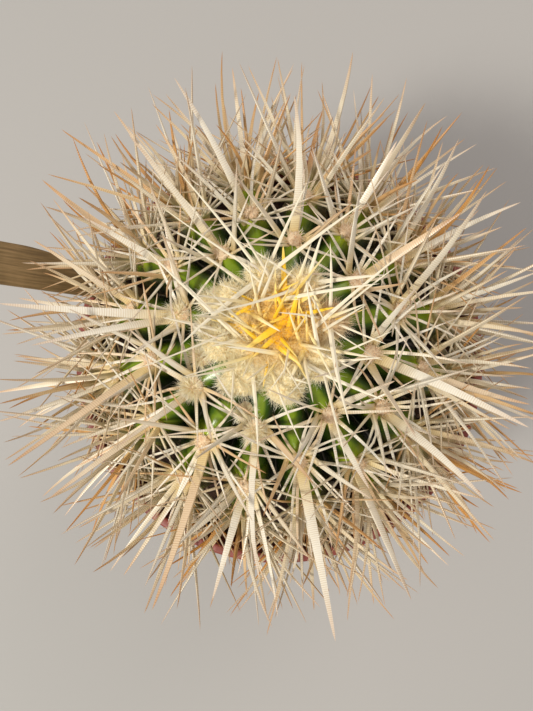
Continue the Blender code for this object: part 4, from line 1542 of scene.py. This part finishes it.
def make_label():
    """The wooden strip: pointed in the soil, round at its top end, and grained along its length."""
    tip, along, across, normal = label_frame()
    size = (LABEL_LENGTH, LABEL_WIDTH, LABEL_THICKNESS)
    strip = primitive("cube", size=1.0, scale=size, location=(LABEL_LENGTH / 2, 0, 0))
    strip = settle(strip, "bare_plant_label")
    edit(strip)
    bpy.ops.mesh.select_all(action="SELECT")
    bpy.ops.mesh.bisect(plane_co=(LABEL_TAPER, 0, 0), plane_no=(1, 0, 0))
    pick(strip, "verts", lambda middle: middle.x < TOLERANCE)
    narrow = LABEL_POINT / LABEL_WIDTH
    bpy.ops.transform.resize(value=(1, narrow, 1), center_override=(0, LABEL_WIDTH / 2, 0))
    shoulder = TOLERANCE - LABEL_WIDTH / 2
    pick(strip, "edges", lambda m: abs(m.x - LABEL_TAPER) < TOLERANCE and m.y < shoulder)
    bpy.ops.mesh.bevel(offset=2 * LABEL_CORNER, segments=6, affect="EDGES")
    far_corner = LABEL_WIDTH / 2 - TOLERANCE
    far_end = LABEL_LENGTH - TOLERANCE
    pick(strip, "edges", lambda m: m.x > far_end and abs(m.y) > far_corner)
    bpy.ops.mesh.bevel(offset=LABEL_CORNER, segments=6, affect="EDGES")
    leave()
    modify(strip, "BEVEL", width=0.00022, segments=2, limit_method="ANGLE")
    grain = strip.data.uv_layers.new(name="grain")
    for loop in strip.data.loops:
        place = strip.data.vertices[loop.vertex_index].co
        grain.data[loop.index].uv = (place.x, place.y + 2 * place.z)
    for point in strip.data.vertices:
        x, y, z = point.co
        point.co = tip + along * x + across * y + normal * z
    shade(strip)
    finish_piece(strip, dark_tan_birch(), "label_wood", "plant_label")


# The stage


def make_stage():
    """A plain pale floor, a soft sky, and two soft lamps."""
    floor = primitive("plane", size=4.0, location=(0, 0, -0.0004))
    floor = settle(floor, "floor")
    plain, _ = material("pale_paper_floor", base_color=linear("#b3b0ab"), roughness=0.9)
    floor.data.materials.append(plain)
    floor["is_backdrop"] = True
    world = bpy.data.worlds.new("soft_daylight")
    world.use_nodes = True
    sky = world.node_tree.nodes["Background"]
    sky.inputs["Color"].default_value = linear("#f6f5f4")
    sky.inputs["Strength"].default_value = 0.50
    bpy.context.scene.world = world
    # Each lamp's name, place, width, power in watts and colour.
    lamps = (
        ("key", (-0.50, -0.34, 0.97), 0.20, 8.8, "#fdfaf3"),
        ("fill", (0.50, 0.65, 0.80), 0.60, 3.2, "#f8ece8"),
    )
    for name, place, size, power, colour in lamps:
        lamp = bpy.data.lights.new(name, "AREA")
        lamp.shape = "DISK"
        lamp.size = size
        lamp.energy = power
        lamp.color = linear(colour)[:3]
        obj = bpy.data.objects.new(name, lamp)
        obj.location = place
        aim = Vector((0, 0, SOIL_TOP)) - obj.location
        obj.rotation_euler = aim.to_track_quat("-Z", "Y").to_euler()
        bpy.context.scene.collection.objects.link(obj)


def make_camera():
    """The photograph looks almost straight down on the crown, from a forearm's length."""
    camera = bpy.data.cameras.new("camera")
    camera.sensor_fit = "AUTO"
    camera.sensor_width = SENSOR
    camera.lens = LENS
    camera.clip_start = 0.01
    obj = bpy.data.objects.new("camera", camera)
    obj.location = CAMERA_PLACE
    ahead = (Vector(CAMERA_AIM) - Vector(CAMERA_PLACE)).normalized()
    right = (Vector((1, 0, 0)) - ahead * ahead.x).normalized()
    axes = Matrix((right, right.cross(ahead), -ahead))
    obj.rotation_euler = axes.transposed().to_euler()
    bpy.context.scene.collection.objects.link(obj)
    bpy.context.scene.camera = obj
    bpy.context.scene.view_settings.view_transform = "Standard"


def main():
    """Makes the scene. The spines grow in a set order, because each keeps clear of those before it."""
    make_camera()
    make_stage()
    make_pot()
    make_soil()
    make_grit()
    make_label()
    make_stem()
    broad = tapering_blank(6, BROAD_CUTS, SPINE_TAPER)
    slim = tapering_blank(6, SLIM_CUTS, SPINE_TAPER)
    hair = tapering_blank(3, HAIR_CUTS, HAIR_TAPER)
    thicket = Thicket()
    young = young_spines(thicket)
    hand_placed = standing_out(thicket)
    centrals, radials = stem_spines(thicket)
    more_centrals, more_radials = more_stem_spines(thicket)
    crown = crown_spines(thicket)
    needles = golden_needles(thicket)
    ivory = ivory_horn()
    golden = new_horn()
    stout = hand_placed + centrals + more_centrals
    make_spines("central_spines", broad, stout, ivory, "cactus_skin", "cactus")
    make_spines("radial_spines", slim, radials, ivory, "cactus_skin", "cactus")
    make_spines("filling_spines", slim, more_radials, ivory, "cactus_skin")
    make_spines("fallen_spines", slim, fallen_spines(), ivory, "cactus_skin")
    make_spines("crown_spines", slim, crown, golden, "crown_wool")
    make_spines("young_spines", broad, young, golden, "crown_wool", "crown_wool")
    make_spines("golden_needles", slim, needles, golden, "crown_wool")
    make_areole_felt(hair)
    make_wool(hair)


main()
visual_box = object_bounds()
boxes = {"cad": cad_box, "visual": visual_box}
{key: [list(corner) for corner in box] for key, box in boxes.items()}
